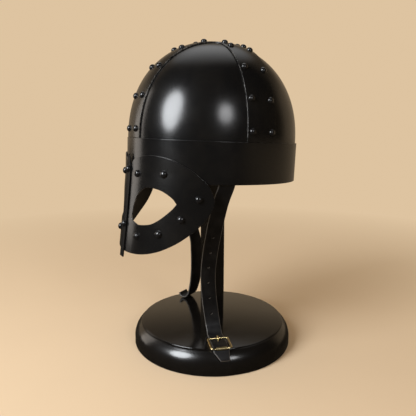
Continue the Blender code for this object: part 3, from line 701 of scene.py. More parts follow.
def spread(tree, value, low, high, to_low, to_high):
    """Maps a value from one range to another."""
    inputs = {"Value": value, "From Min": low, "From Max": high}
    return node(tree, "MapRange", "Result", inputs | {"To Min": to_low, "To Max": to_high})


def calculated(tree, operation, *values):
    return node(tree, "Math", "Value", dict(enumerate(values)), operation=operation)


def reach_along(tree, place, way):
    """How far a place or a direction reaches along a way."""
    return node(tree, "VectorMath", "Value", {0: place, 1: way}, operation="DOT_PRODUCT")


# The sockets of a mix node share their names, so they are found by their numbers


def blend_colours(tree, amount, first, second):
    inputs = {0: amount, 6: (*first, 1.0), 7: (*second, 1.0)}
    return node(tree, "Mix", 2, inputs, data_type="RGBA")


def blend_numbers(tree, amount, first, second):
    return node(tree, "Mix", 0, {0: amount, 2: first, 3: second}, data_type="FLOAT")


def raised(tree, height, strength, distance, under=None):
    inputs = {"Height": height, "Strength": strength, "Distance": distance}
    if under:
        inputs["Normal"] = under
    return node(tree, "Bump", "Normal", inputs)


def shaded(tint, brightness):
    return tuple(brightness * value for value in tint)


# Finishes


def iron_finish(name, first, second, low_rough, high_rough, depth, shine):
    """Blackened iron: browner clouds, uneven gloss, faint brush marks and a hand-worked wave."""
    made, tree, shader, place = start_finish(name)
    clouds = noise(tree, place, 26.0, 5.0, 0.6, 0.4)
    brushed = noise(tree, stretched(tree, place, (1.0, 1.0, 9.0)), 160.0, 3.0, 0.6)
    specks = noise(tree, place, 1400.0, 2.0)
    tone = spread(tree, clouds, 0.42, 0.68, 0.0, 1.0)
    both = calculated(tree, "MULTIPLY_ADD", brushed, 0.35, clouds)
    gloss = spread(tree, both, 0.50, 0.85, low_rough, high_rough)
    waves = raised(tree, noise(tree, place, 16.0, 2.0, 0.4), 0.12 * depth, 0.0006)
    marks = raised(tree, brushed, 0.02 * depth, 0.0001, waves)
    bumps = raised(tree, specks, 0.03, 0.00004, marks)
    surface(tree, shader, blend_colours(tree, tone, first, second), gloss, bumps)
    shader.inputs["Specular IOR Level"].default_value = shine
    return made


def edge_finish(name, colours):
    """Dressed sheet edges, where the blackening is rubbed thin, in a light grey that also paints a
    highlight along the edges.
    """
    made, tree, shader, place = start_finish(name)
    rubbed = noise(tree, place, 240.0, 4.0, 0.6)
    tone = spread(tree, rubbed, 0.38, 0.70, 0.0, 1.0)
    # The light edge colour is partly wear and partly a painted highlight along the edges
    blended = blend_colours(tree, tone, colours.iron_warm, colours.edge_wear_and_highlight)
    gloss = spread(tree, rubbed, 0.3, 0.7, 0.24, 0.42)
    surface(tree, shader, blended, gloss, raised(tree, rubbed, 0.2, 0.0001))
    shader.inputs["Metallic"].default_value = 0.5
    return made


def lacquer_finish(name, colours):
    """Black lacquer over turned wood: deep gloss with a faint grain print."""
    made, tree, shader, place = start_finish(name)
    grain = noise(tree, stretched(tree, place, (14.0, 1.6, 1.6)), 22.0, 4.0, 0.6, 0.5)
    haze = noise(tree, place, 38.0, 3.0)
    blended = blend_colours(tree, grain, shaded(colours.lacquer, 0.6), colours.lacquer)
    # The flat top is rubbed to a clearer gloss than the rounded rim below it
    rubbed = spread(tree, reach_along(tree, place, UP), *LACQUER_FADE)
    gloss = calculated(tree, "ADD", rubbed, spread(tree, haze, 0.35, 0.7, 0.0, 0.05))
    wave = raised(tree, noise(tree, place, 30.0, 1.0), 0.10, 0.0004)
    surface(tree, shader, blended, gloss, raised(tree, grain, 0.03, 0.0002, wave))
    shader.inputs["Coat Weight"].default_value = 0.25
    shader.inputs["Coat Roughness"].default_value = 0.12
    return made


def leather_finish(name, colours):
    """Dyed strap leather: pebbled grain, soft creases and rubbed patches."""
    made, tree, shader, place = start_finish(name)
    pebbles = cells(tree, place, 1150.0)
    creases = noise(tree, stretched(tree, place, (1.0, 1.0, 2.4)), 190.0, 4.0, 0.6, 0.8)
    patches = noise(tree, place, 60.0, 4.0)
    tone = spread(tree, patches, 0.42, 0.72, 0.0, 1.0)
    blended = blend_colours(tree, tone, colours.leather, shaded(colours.leather, 2.3))
    gloss = spread(tree, patches, 0.3, 0.7, 0.40, 0.56)
    under = raised(tree, creases, 0.35, 0.0003)
    surface(tree, shader, blended, gloss, raised(tree, pebbles, 0.45, 0.00025, under))
    shader.inputs["Specular IOR Level"].default_value = 0.22
    return made


def leather_edge_finish(name, colours):
    """Burnished cut edge of the strap, greyer than its face, with the fibres' fine lines."""
    made, tree, shader, place = start_finish(name)
    fibres = noise(tree, place, 700.0, 4.0, 0.7)
    blended = blend_colours(tree, fibres, colours.leather, colours.leather_edge)
    gloss = spread(tree, fibres, 0.3, 0.7, 0.26, 0.40)
    surface(tree, shader, blended, gloss, raised(tree, fibres, 0.4, 0.0002))
    return made


def brass_finish(name, first, second, low_rough, high_rough):
    """Brass with faint tarnish and scratches."""
    made, tree, shader, place = start_finish(name)
    tarnish = noise(tree, place, 190.0, 4.0, 0.6, 0.5)
    scratches = noise(tree, stretched(tree, place, (1.0, 7.0, 1.0)), 900.0, 2.0)
    tone = spread(tree, tarnish, 0.52, 0.78, 0.0, 1.0)
    gloss = spread(tree, tarnish, 0.35, 0.75, low_rough, high_rough)
    bumps = raised(tree, scratches, 0.10, 0.0001)
    surface(tree, shader, blend_colours(tree, tone, first, second), gloss, bumps)
    shader.inputs["Metallic"].default_value = 1.0
    return made


FINISH_MAKERS = {
    "dressed_iron_edge": edge_finish,
    "glossy_black_lacquer": lacquer_finish,
    "black_strap_leather": leather_finish,
    "burnished_leather_edge": leather_edge_finish,
}


def finish(name):
    """A finish of the object by name, made the first time that it is asked for."""
    if name in bpy.data.materials:
        return bpy.data.materials[name]
    colours = bpy.context.scene.helmet_finishes
    if name in IRONS:
        first, second, *numbers = IRONS[name]
        return iron_finish(name, getattr(colours, first), getattr(colours, second), *numbers)
    if name == "polished_brass":
        return brass_finish(name, colours.brass, shaded(colours.brass, 0.8), 0.20, 0.34)
    if name == "dull_sleeve_brass":
        return brass_finish(name, colours.brass_dull, colours.brass, 0.38, 0.50)
    return FINISH_MAKERS[name](name, colours)


def iron_finishes():
    return [finish(name) for name in ("blackened_iron", "dressed_iron_edge", "iron_inner_face")]


# Pieces


class HELMET_OT_skull(bpy.types.Operator):
    """Build the skull's sheet iron dome"""

    bl_idname = "helmet.skull"
    bl_label = "Skull"

    def execute(self, context):
        shell = context.scene.helmet_shell
        turns = [2 * math.pi * turn / SKULL_TURNS for turn in range(SKULL_TURNS)]
        rows = [(0.0, shell.skirt), (0.0, shell.skirt / 2)]
        rows += [(math.pi / 2 * step / SKULL_RISES, 0.0) for step in range(SKULL_RISES)]
        spots = [(turn, rise, drop) for rise, drop in rows for turn in turns]
        faces = grid_faces(len(rows), SKULL_TURNS, ring=True)
        faces += fan(len(spots) - SKULL_TURNS, SKULL_TURNS, len(spots))
        spots.append((0.0, math.pi / 2, 0.0))
        spot_at = partial(on_dome, shell)
        add_sheet("skull_dome", spots, spot_at, -shell.wall, shell.wall, faces, ["skull"])
        return {"FINISHED"}


class HELMET_OT_brow_band(bpy.types.Operator):
    """Build the band round the brow"""

    bl_idname = "helmet.brow_band"
    bl_label = "Brow band"

    def execute(self, context):
        shell = context.scene.helmet_shell
        turns = [2 * math.pi * turn / BROW_TURNS for turn in range(BROW_TURNS)]
        drops = (0.0, shell.brow_height / 2, shell.brow_height)
        spots = [(turn, drop) for drop in drops for turn in turns]
        faces = grid_faces(len(drops), BROW_TURNS, ring=True)

        def spot_at(turn, drop, offset):
            return plan_point(shell, turn, offset) - Vector((0.0, 0.0, drop))

        replaced = ["brow_band"]
        wall = shell.wall
        add_sheet("brow_ring", spots, spot_at, shell.fit, wall, faces, replaced, bevel=BROW_BEVEL)
        return {"FINISHED"}


def solve_ridge_rise(shell, bands, y):
    """The rise at which a side section meets the ridge band's edge."""
    edge = bands.ridge_half_width
    return solve(lambda rise: -up_side(shell, y, rise, 1, 0.0).x, -edge, 0.0, math.pi / 2)


def crossing_spots(shell, bands):
    """Spots and faces of the bands that cross at the crown, each spot a function and its place."""
    half = bands.ridge_half_width
    start = lowest_rise(shell)
    widest = bands.side_half_width + bands.fillet
    across = [2 * column / SIDE_COLUMNS - 1 for column in range(SIDE_COLUMNS + 1)]
    joins = []
    for part in across:
        y = bands.side_back + widest * part
        joins.append(solve(lambda rise: over_crown(shell, half, rise, 0.0).y, y, 0.0, math.pi))
    gap = (math.pi - 2 * start) / RIDGE_STEPS
    rises = [start + gap * step for step in range(RIDGE_STEPS + 1)]
    kept = [rise for rise in rises if rise < joins[0] - gap / 2 or rise > joins[-1] + gap / 2]
    rises = sorted(kept + joins)
    columns = [half * (2 * column / RIDGE_COLUMNS - 1) for column in range(RIDGE_COLUMNS + 1)]
    spots = [(over_crown, (x, rise)) for rise in rises for x in columns]
    parts = [(spots, grid_faces(len(rises), len(columns)))]
    middle_top = solve_ridge_rise(shell, bands, bands.side_back)
    for side in (1, -1):
        spots = []
        for step in range(SIDE_STEPS + 1):
            up = 1 - (1 - step / SIDE_STEPS) ** SIDE_STEP_POWER
            middle = up_side(shell, bands.side_back, start + (middle_top - start) * up, 1, 0.0)
            near = min(max((middle.x - half) / bands.fillet, 0.0), 1.0)
            wide = bands.side_half_width + bands.fillet * (1 - math.sqrt(1 - (1 - near) ** 2))
            if step == SIDE_STEPS:
                wide = widest
            for part in across:
                y = bands.side_back + wide * part
                top = solve_ridge_rise(shell, bands, y)
                spots.append((up_side, (y, start + (top - start) * up, side)))
        parts.append((spots, grid_faces(SIDE_STEPS + 1, SIDE_COLUMNS + 1)))
    return joined(parts)


class HELMET_OT_crossing_bands(bpy.types.Operator):
    """Build the bands that cross at the crown"""

    bl_idname = "helmet.crossing_bands"
    bl_label = "Crossing bands"

    def execute(self, context):
        scene = context.scene
        shell, bands = scene.helmet_shell, scene.helmet_bands
        place = helmet_matrix(shell)

        def spot_at(surface_at, where, offset):
            return surface_at(shell, *where, offset)

        spots, faces = crossing_spots(shell, bands)
        outer = [place @ spot_at(*spot, shell.fit + bands.wall) for spot in spots]
        keys = [tuple(round(value * WELD_SCALE) for value in point) for point in outer]
        spots, faces = weld(spots, keys, faces)
        replaced = ["ridge_band", "left_side_band", "right_side_band"]
        name, wall = "crossing_bands", bands.wall
        add_sheet(name, spots, spot_at, shell.fit, wall, faces, replaced, bevel=SHEET_BEVEL)
        return {"FINISHED"}


class HELMET_OT_band_rivets(bpy.types.Operator):
    """Build the domed rivets along the crossing bands"""

    bl_idname = "helmet.band_rivets"
    bl_label = "Band rivets"

    def execute(self, context):
        scene = context.scene
        shell, bands = scene.helmet_shell, scene.helmet_bands
        spots = []
        for rise in map(math.radians, RIDGE_RIVET_RISES):
            for turned in (rise, math.pi - rise):
                for sign in (-1, 1):
                    spots.append((over_crown, (sign * bands.ridge_rivet_offset, turned)))
        for side in (1, -1):
            for rise in map(math.radians, SIDE_RIVET_RISES):
                for sign in (-1, 1):
                    y = bands.side_back + sign * bands.side_rivet_offset
                    spots.append((up_side, (y, rise, side)))
        seats = []
        for surface_at, where in spots:
            normal = dome_normal(shell, surface_at(shell, *where, 0.0))
            seats.append(facing(surface_at(shell, *where, shell.fit + bands.wall), normal))
        sink = bands.wall / 4
        points, faces = rivet_heads(seats, bands.rivet_radius, bands.rivet_rise, sink)
        place = helmet_matrix(shell)
        points = [place @ point for point in points]
        add_piece("band_rivets", points, faces, [finish("domed_rivet_iron")], "black_iron", [])
        return {"FINISHED"}


# Eye guard


def guard_flare(guard, drop):
    whole = guard.top_drop + guard.height - guard.flare_start
    return guard.flare * (max(drop - guard.flare_start, 0.0) / whole) ** guard.flare_power


def on_guard(shell, guard, turn, drop, offset):
    """A point on the brow's outline, pushed forwards as it drops below the rim."""
    point = plan_point(shell, turn, offset, guard_flare(guard, drop))
    point.z = -drop
    return point


def guard_low(shell, guard):
    return shell.fit + shell.wall + guard.fit


def outline_of(stops, mirrored):
    """A smooth outline through the stops, which meets its mirror image squarely if mirrored."""
    if mirrored:
        before, after = ([-stops[1][0], stops[1][1]], [-stops[-2][0], stops[-2][1]])
    else:
        before, after = stops[0], stops[-1]
    full = [before] + [list(stop) for stop in stops] + [after]
    path = smooth_path(full, OUTLINE_STEPS)
    return path[OUTLINE_STEPS:-OUTLINE_STEPS]


def ray_length(edge, turn):
    """How far a ray from the eye hole's centre runs to an edge."""
    across, down = math.cos(turn), math.sin(turn)
    longest = 0.0
    for (x1, y1), (x2, y2) in zip(edge, edge[1:] + edge[:1]):
        ax, ay = x1 - EYE_CENTRE[0], y1 - EYE_CENTRE[1]
        bx, by = x2 - x1, y2 - y1
        bottom = across * by - down * bx
        if abs(bottom) < TINY:
            continue
        length = (ax * by - ay * bx) / bottom
        part = (ax * down - ay * across) / bottom
        if length > 0 and -SLACK <= part <= 1 + SLACK:
            longest = max(longest, length)
    return longest


def turn_of(spot):
    return math.atan2(spot[1] - EYE_CENTRE[1], spot[0] - EYE_CENTRE[0]) % (2 * math.pi)


class HELMET_OT_eye_guard(bpy.types.Operator):
    """Build the guard round the eyes"""

    bl_idname = "helmet.eye_guard"
    bl_label = "Eye guard"

    def execute(self, context):
        scene = context.scene
        shell, guard = scene.helmet_shell, scene.helmet_guard
        outer_edge = outline_of(GUARD_EDGE, mirrored=True)
        outer_edge[0][0] = outer_edge[-1][0] = 0.0
        eye_edge = outline_of(EYE_EDGE, mirrored=False)
        turns = [turn_of(spot) for spot in outer_edge + eye_edge]
        turns += [2 * math.pi * step / GUARD_ANGLES for step in range(GUARD_ANGLES)]
        turns = sorted({round(turn, 4) for turn in turns})
        spots = []
        for mirror in (1, -1):
            for turn in turns:
                low, high = ray_length(eye_edge, turn), ray_length(outer_edge, turn)
                for ring in range(GUARD_RINGS + 1):
                    length = low + (high - low) * ring / GUARD_RINGS
                    reach = max(EYE_CENTRE[0] + length * math.cos(turn), 0.0) * guard.reach
                    height = EYE_CENTRE[1] + length * math.sin(turn)
                    spots.append((mirror * reach, guard.top_drop + height * guard.height))
        width = GUARD_RINGS + 1
        faces = []
        for half in (0, 1):
            for step in range(len(turns)):
                here = (half * len(turns) + step) * width
                there = (half * len(turns) + (step + 1) % len(turns)) * width
                for ring in range(GUARD_RINGS):
                    face = (here + ring, here + ring + 1, there + ring + 1, there + ring)
                    faces.append(tuple(reversed(face)) if half else face)
        keys = [(round(turn, 6), round(drop, 7)) for turn, drop in spots]
        spots, faces = weld(spots, keys, faces)
        name, spot_at = "spectacle_guard", partial(on_guard, shell, guard)
        low, wall = guard_low(shell, guard), guard.wall
        add_sheet(name, spots, spot_at, low, wall, faces, ["eye_guard"], bevel=SHEET_BEVEL)
        return {"FINISHED"}


class HELMET_OT_nasal_bar(bpy.types.Operator):
    """Build the pointed bar down the nose"""

    bl_idname = "helmet.nasal_bar"
    bl_label = "Nasal bar"

    def execute(self, context):
        scene = context.scene
        shell, guard = scene.helmet_shell, scene.helmet_guard
        high = guard_low(shell, guard) + guard.wall
        half_turn = guard.nasal_half_width / (shell.half_width + high)
        spots = []
        for row in range(NASAL_ROWS + 1):
            part = NASAL_START + (1 - NASAL_START) * (row / NASAL_ROWS) ** NASAL_ROW_POWER
            drop = guard.nasal_length * part
            wide = half_turn * min(drop / guard.nasal_point, 1.0) ** guard.nasal_point_power
            for column in range(NASAL_COLUMNS + 1):
                spots.append((wide * (2 * column / NASAL_COLUMNS - 1), guard.top_drop + drop))
        faces = grid_faces(NASAL_ROWS + 1, NASAL_COLUMNS + 1)
        dull = finish("dull_nasal_iron")
        finishes = [dull, dull, finish("iron_inner_face")]
        name, spot_at = "nose_bar", partial(on_guard, shell, guard)
        low, wall = high + shell.fit, guard.nasal_wall
        add_sheet(name, spots, spot_at, low, wall, faces, ["nasal_bar"], finishes, NASAL_BEVEL)
        return {"FINISHED"}


class HELMET_OT_guard_rivets(bpy.types.Operator):
    """Build the domed rivets of the eye guard and the nasal bar"""

    bl_idname = "helmet.guard_rivets"
    bl_label = "Guard rivets"

    def execute(self, context):
        scene = context.scene
        shell, guard = scene.helmet_shell, scene.helmet_guard
        high = guard_low(shell, guard) + guard.wall
        spots = []
        nodes = []
        for side, mirror in (("left", 1), ("right", -1)):
            for number, (reach, height) in enumerate(GUARD_RIVETS, 1):
                turn = mirror * reach * guard.reach
                spots.append((turn, guard.top_drop + height * guard.height, high))
                nodes.append(f"guard_rivet_{side}_{number}")
        for number, part in enumerate(NASAL_RIVETS, 1):
            drop = guard.top_drop + part * guard.nasal_length
            spots.append((0.0, drop, high + shell.fit + guard.nasal_wall))
            nodes.append(f"nasal_rivet_{number}")
        seats = []
        for turn, drop, offset in spots:
            seat = on_guard(shell, guard, turn, drop, offset)
            aside = on_guard(shell, guard, turn + NUDGE, drop, offset) - seat
            down = on_guard(shell, guard, turn, drop + NUDGE, offset) - seat
            normal = down.cross(aside).normalized()
            seats.append(facing(seat + normal * shell.fit, normal))
        sink = 2 * shell.fit
        points, faces = rivet_heads(seats, guard.rivet_radius, guard.rivet_rise, sink)
        place = helmet_matrix(shell)
        points = [place @ point for point in points]
        add_piece("guard_rivets", points, faces, [finish("domed_rivet_iron")], "rivet_iron", nodes)
        return {"FINISHED"}


# Chin strap


def strap_seat(scene, side):
    """Centres and widths of a strap where it lies flat inside the brow band, top first."""
    shell, strap = scene.helmet_shell, scene.helmet_strap
    place = helmet_matrix(shell)
    turn = side * strap.seat_turn
    rows = []
    for part in (1.0, 0.5, 0.0):
        drop = shell.brow_height - strap.seat_length * part
        wall, after, before = (
            place @ on_dome(shell, turn + nudge, 0.0, drop, 0.0) for nudge in (0.0, NUDGE, -NUDGE)
        )
        aside = (after - before).normalized()
        out = Vector((aside.y, -aside.x, 0.0)).normalized()
        if out.x * side < 0:
            out.negate()
        sag = (strap.width / 2) ** 2 / (2 * shell.half_width)
        centre = wall - out * (strap.thickness / 2 + strap.seat_fit + sag)
        rows.append([*centre, *(side * aside)])
    return rows


def heading_axes(strap):
    out = Vector((math.cos(strap.heading), math.sin(strap.heading), 0.0))
    return out, Vector((-out.y, out.x, 0.0))


def strap_rest_height(scene):
    return scene.helmet_stand.height + 2 * scene.helmet_shell.fit + scene.helmet_strap.thickness / 2


def left_strap_path(scene):
    strap, stand = scene.helmet_strap, scene.helmet_stand
    out, aside = heading_axes(strap)
    stops = strap_seat(scene, 1)
    rim = Vector(stops[-1][:3])
    reach = rim.dot(out)
    rest = strap_rest_height(scene)
    for part, distance, sway in LEFT_HANG:
        spot = out * distance * reach + aside * sway * strap.width
        stops.append([spot.x, spot.y, rim.z - (rim.z - rest) * part, *aside])
    landing = LEFT_HANG[-1][1] * reach + strap.landing
    foot = LEFT_HANG[-1][2] * strap.width * aside
    edge_round = stand.base_radius - stand.top_radius
    flats = [(landing, 0.0), (landing + strap.width / 2, 0.0)]
    for far, down in LEFT_OVER_EDGE:
        flats.append((stand.top_radius + edge_round * far, edge_round * down))
    for distance, down in flats:
        spot = out * distance + foot
        stops.append([spot.x, spot.y, rest - down, *aside])
    return smooth_path(stops, STRAP_STEPS)


def right_strap_path(scene):
    strap = scene.helmet_strap
    stops = strap_seat(scene, -1)
    rim = Vector(stops[-1][:3])
    fall = rim.z - strap_rest_height(scene)
    for part, distance, place, degrees in RIGHT_HANG:
        turn = math.radians(degrees)
        aside = (math.sin(turn), math.cos(turn), 0.0)
        stops.append([rim.x * distance, place * strap.width, rim.z - fall * part, *aside])
    return smooth_path(stops, STRAP_STEPS)


def strap_mesh(strap, path, tip=0.0):
    """Points, faces and face kinds of a flat strap along a path, slanted over the tip's length."""
    ring = rounded_corners(
        strap.width / 2, strap.thickness / 2, strap.edge_radius, STRAP_CORNER_STEPS
    )
    centres = [Vector(row[:3]) for row in path]
    beyond = [0.0]
    for start, end in zip(centres[-2::-1], centres[:0:-1]):
        beyond.append(beyond[-1] + (end - start).length)
    beyond.reverse()
    rings = []
    for number, row in enumerate(path):
        ahead = centres[min(number + 1, len(path) - 1)] - centres[max(number - 1, 0)]
        ahead.normalize()
        aside = Vector(row[3:6])
        aside = (aside - ahead * aside.dot(ahead)).normalized()
        out = ahead.cross(aside).normalized()
        near_end = 1 - min(beyond[number] / tip, 1.0) if tip else 0.0
        points = []
        for across, through in ring:
            across *= 1 - near_end * TIP_SLANT[across > 0]
            points.append(centres[number] + aside * across + out * through)
        rings.append(points)
    points, faces = loft(rings)
    # Two faces of each ring are the leather's flat sides, and the others are its cut edges
    flat = {STRAP_CORNER_STEPS, 3 * STRAP_CORNER_STEPS + 2}
    kinds = [0 if number % len(ring) in flat else 1 for number in range(len(faces) - 2)]
    return points, faces, kinds + [1, 1]


def along_path(path, distance):
    """The centre, the direction and the width direction at a distance along a strap's path."""
    centres = [Vector(row[:3]) for row in path]
    for start, end, row in zip(centres, centres[1:], path):
        length = (end - start).length
        if distance <= length:
            return start.lerp(end, distance / length), (end - start).normalized(), Vector(row[3:6])
        distance -= length
    return centres[-1], (centres[-1] - centres[-2]).normalized(), Vector(path[-1][3:6])


def punch(scene, piece, path):
    """Cuts the row of holes and the prong's hole through the strap."""
    strap = scene.helmet_strap
    seats = []
    for number in range(strap.punch_count):
        distance = strap.seat_length + strap.punch_first + number * strap.punch_spacing
        centre, ahead, aside = along_path(path, distance)
        aside = (aside - ahead * aside.dot(ahead)).normalized()
        seats.append(facing(centre, ahead.cross(aside).normalized()))
    seats.append(facing(buckle_matrix(scene) @ prong_stops(scene)[0], Vector(UP)))
    heights = (-strap.thickness, strap.thickness)
    hole, faces = loft([circle(HOLE_SIDES, strap.punch_radius, height) for height in heights])
    points, faces = joined([([seat @ point for point in hole], faces) for seat in seats])
    mesh = bpy.data.meshes.new("punch")
    mesh.from_pydata([tuple(point) for point in points], [], faces)
    for material in strap_finishes():
        mesh.materials.append(material)
    mesh.polygons.foreach_set("material_index", [1] * len(faces))
    cutter = bpy.data.objects.new("punch", mesh)
    scene.collection.objects.link(cutter)
    cut = piece.modifiers.new("holes", "BOOLEAN")
    cut.operation = "DIFFERENCE"
    cut.solver = "EXACT"
    cut.object = cutter
    bpy.context.view_layer.update()
    graph = bpy.context.evaluated_depsgraph_get()
    cut_mesh = bpy.data.meshes.new_from_object(piece.evaluated_get(graph))
    piece.modifiers.clear()
    piece.data = cut_mesh
    bpy.data.objects.remove(cutter)


def strap_finishes():
    return [finish("black_strap_leather"), finish("burnished_leather_edge")]


class HELMET_OT_left_strap(bpy.types.Operator):
    """Build the strap with punched holes that reaches the buckle"""

    bl_idname = "helmet.left_strap"
    bl_label = "Left strap"

    def execute(self, context):
        scene = context.scene
        path = left_strap_path(scene)
        points, faces, kinds = strap_mesh(scene.helmet_strap, path, scene.helmet_strap.tip)
        looks = (strap_finishes(), "black_leather")
        piece = add_piece("buckle_strap", points, faces, *looks, ["left_strap"], kinds)
        punch(scene, piece, path)
        return {"FINISHED"}


class HELMET_OT_right_strap(bpy.types.Operator):
    """Build the plain strap that curls on the stand"""

    bl_idname = "helmet.right_strap"
    bl_label = "Right strap"

    def execute(self, context):
        scene = context.scene
        points, faces, kinds = strap_mesh(scene.helmet_strap, right_strap_path(scene))
        looks = (strap_finishes(), "black_leather")
        add_piece("plain_strap", points, faces, *looks, ["right_strap"], kinds)
        return {"FINISHED"}


# Buckle


def buckle_matrix(scene):
    """The buckle's own frame: X runs down the strap, Z stands off it, the origin is its middle."""
    strap, buckle, stand = scene.helmet_strap, scene.helmet_buckle, scene.helmet_stand
    fit = scene.helmet_shell.fit
    out, aside = heading_axes(strap)
    rest = strap_rest_height(scene)
    upper = rest + strap.thickness / 2 + fit + buckle.wire
    edge_round = stand.base_radius - stand.top_radius
    far, fallen = LEFT_OVER_EDGE[LOWER_BAR_STOP]
    sleeve = buckle.wire + 2 * fit + buckle.sleeve_wall
    lower = rest - edge_round * fallen + strap.thickness / 2 + sleeve + buckle.lift
    slope = math.asin((upper - lower) / buckle.length)
    lower_reach = stand.top_radius + edge_round * far
    middle = out * (lower_reach - buckle.length / 2 * math.cos(slope))
    middle += aside * LEFT_HANG[-1][2] * strap.width
    middle.z = (upper + lower) / 2
    down = out * math.cos(slope) - Vector((0.0, 0.0, math.sin(slope)))
    turn = Matrix((down, aside, down.cross(aside))).transposed().to_4x4()
    return Matrix.Translation(middle) @ turn


def prong_stops(scene):
    buckle = scene.helmet_buckle
    over = buckle.wire + scene.helmet_shell.fit + buckle.prong_wire
    bar = -buckle.length / 2
    return [Vector((bar + past * over, 0.0, height * over)) for past, height in PRONG_ROUTE]


def sleeve_mesh(buckle, fit):
    """A short tube round the lower bar, with softened ends."""
    inner = buckle.wire + fit / 3
    outer = buckle.wire + fit + buckle.sleeve_wall
    half = buckle.sleeve_length / 2
    soft = buckle.sleeve_wall / 3
    profile = [(inner, -half), (outer - soft, -half), (outer, soft - half)]
    profile += [(reach, -y) for reach, y in reversed(profile)]
    bar = buckle.length / 2
    rings = []
    for stop in profile:
        rings.append([Vector((bar + x, y, z)) for x, z, y in circle(WIRE_SIDES, *stop)])
    return loft(rings, closed=True)


class HELMET_OT_buckle(bpy.types.Operator):
    """Build the buckle's frame, sleeve and prong"""

    bl_idname = "helmet.buckle"
    bl_label = "Buckle"

    def execute(self, context):
        scene = context.scene
        buckle = scene.helmet_buckle
        place = buckle_matrix(scene)
        ring = rounded_corners(buckle.length / 2, buckle.width / 2, buckle.corner, CORNER_STEPS)
        path = [Vector((x, y, 0.0)) for x, y in ring]
        loop = wire(path, [buckle.wire] * len(path), closed=True)
        self.add(place, "buckle_loop", loop, "polished_brass", "buckle_frame")
        sleeve = sleeve_mesh(buckle, scene.helmet_shell.fit)
        self.add(place, "buckle_roller", sleeve, "dull_sleeve_brass", "buckle_sleeve")
        stops = [list(stop) for stop in prong_stops(scene)]
        path = [Vector(stop) for stop in smooth_path(stops, PRONG_STEPS)]
        radii = []
        for number in range(len(path)):
            part = (number / (len(path) - 1)) ** PRONG_TAPER_POWER
            radii.append(buckle.prong_wire * (1.0 - PRONG_TAPER * part))
        prong = wire(path, radii, closed=False)
        self.add(place, "buckle_tongue", prong, "polished_brass", "buckle_prong")
        return {"FINISHED"}

    def add(self, place, name, mesh, look, replaced):
        points, faces = mesh
        points = [place @ point for point in points]
        add_piece(name, points, faces, [finish(look)], "brass", [replaced])


# Stand


def base_profile(stand):
    """Radius and height of the base's outline, from the middle of its foot to that of its top."""
    edge_round = stand.base_radius - stand.top_radius
    fall = stand.height - stand.step - stand.round_centre
    radius = (edge_round**2 + fall**2) / (2 * edge_round)
    centre = stand.base_radius - radius
    widest = math.asin(min(fall / radius, 1.0))
    low = stand.foot_bevel
    profile = [(0.0, 0.0), (stand.base_radius - low, 0.0)]
    profile += [(stand.base_radius - low / 3, low / 3), (stand.base_radius, low)]
    for step in range(BASE_EDGE_STEPS + 1):
        turn = widest * step / BASE_EDGE_STEPS
        reach = centre + radius * math.cos(turn)
        if reach > stand.top_radius + BEAD_REACH * stand.bead:
            profile.append((reach, stand.round_centre + radius * math.sin(turn)))
    # A small bead where the rounding meets the step, then the step and the top's soft edge
    shoulder = stand.height - stand.step
    for part in BEAD_PARTS:
        fallen = stand.bead * part**2 / 2
        profile.append((stand.top_radius + stand.bead * part, shoulder - fallen))
    profile.append((stand.top_radius, shoulder - stand.bead / 4))
    for step in range(BEVEL_STEPS + 1):
        turn = math.pi / 2 * step / BEVEL_STEPS
        inset = stand.top_radius - stand.top_bevel * (1 - math.cos(turn))
        profile.append((inset, stand.height - stand.top_bevel * (1 - math.sin(turn))))
    return profile + [(0.0, stand.height)]


def rest_mesh(shell, stand):
    """The rest under the skull's crown: points, faces and the height of its underside."""
    place = helmet_matrix(shell)
    turns = [2 * math.pi * side / REST_SIDES for side in range(REST_SIDES)]
    last_rise = math.acos(stand.rest_reach ** (shell.rise_power / 2))
    inside = -shell.wall - stand.rest_fit
    rings = []
    for ring in range(1, REST_RINGS + 1):
        rise = math.pi / 2 + (last_rise - math.pi / 2) * ring / REST_RINGS
        rings.append([place @ on_dome(shell, turn, rise, 0.0, inside) for turn in turns])
    underside = min(point.z for ring in rings for point in ring) - stand.rest_depth
    rings.append([Vector((point.x, point.y, underside)) for point in rings[-1]])
    points, faces = loft(rings)
    faces[-2:-1] = fan(0, REST_SIDES, len(points))
    points.append(place @ on_dome(shell, 0.0, math.pi / 2, 0.0, inside))
    return points, faces, underside


def post_mesh(stand, foot, top):
    """The square post with chamfered corners."""
    half = stand.post_side / 2
    cut = half - stand.post_chamfer
    square = [(half, -cut), (half, cut), (cut, half), (-cut, half)]
    square += [(-x, -y) for x, y in square]
    return loft([[Vector((x, y, z)) for x, y in square] for z in (foot, top)])


class HELMET_OT_stand(bpy.types.Operator):
    """Build the turned base, the square post and the rest"""

    bl_idname = "helmet.stand"
    bl_label = "Stand"

    def execute(self, context):
        scene = context.scene
        shell, stand = scene.helmet_shell, scene.helmet_stand
        looks = ([finish("glossy_black_lacquer")], "black_lacquered_wood")
        points, faces = lathe(base_profile(stand), BASE_SIDES)
        replaced = ["stand_base"]
        add_piece("turned_base", points, faces, *looks, replaced, sharp=BASE_SHARP_ANGLE)
        *rest, underside = rest_mesh(shell, stand)
        foot, top = stand.height + shell.fit / 2, underside + stand.rest_depth / 2
        points, faces = joined([rest, post_mesh(stand, foot, top)])
        add_piece("post_and_rest", points, faces, *looks, ["stand_post"], bevel=POST_BEVEL)
        return {"FINISHED"}


# Stage


def toward(turn, rise):
    """The direction at a turn from the helmet's front and a rise above the ground, in degrees."""
    turn, rise = math.radians(turn), math.radians(rise)
    level = math.cos(rise)
    return Vector((math.sin(turn) * level, -math.cos(turn) * level, math.sin(rise)))


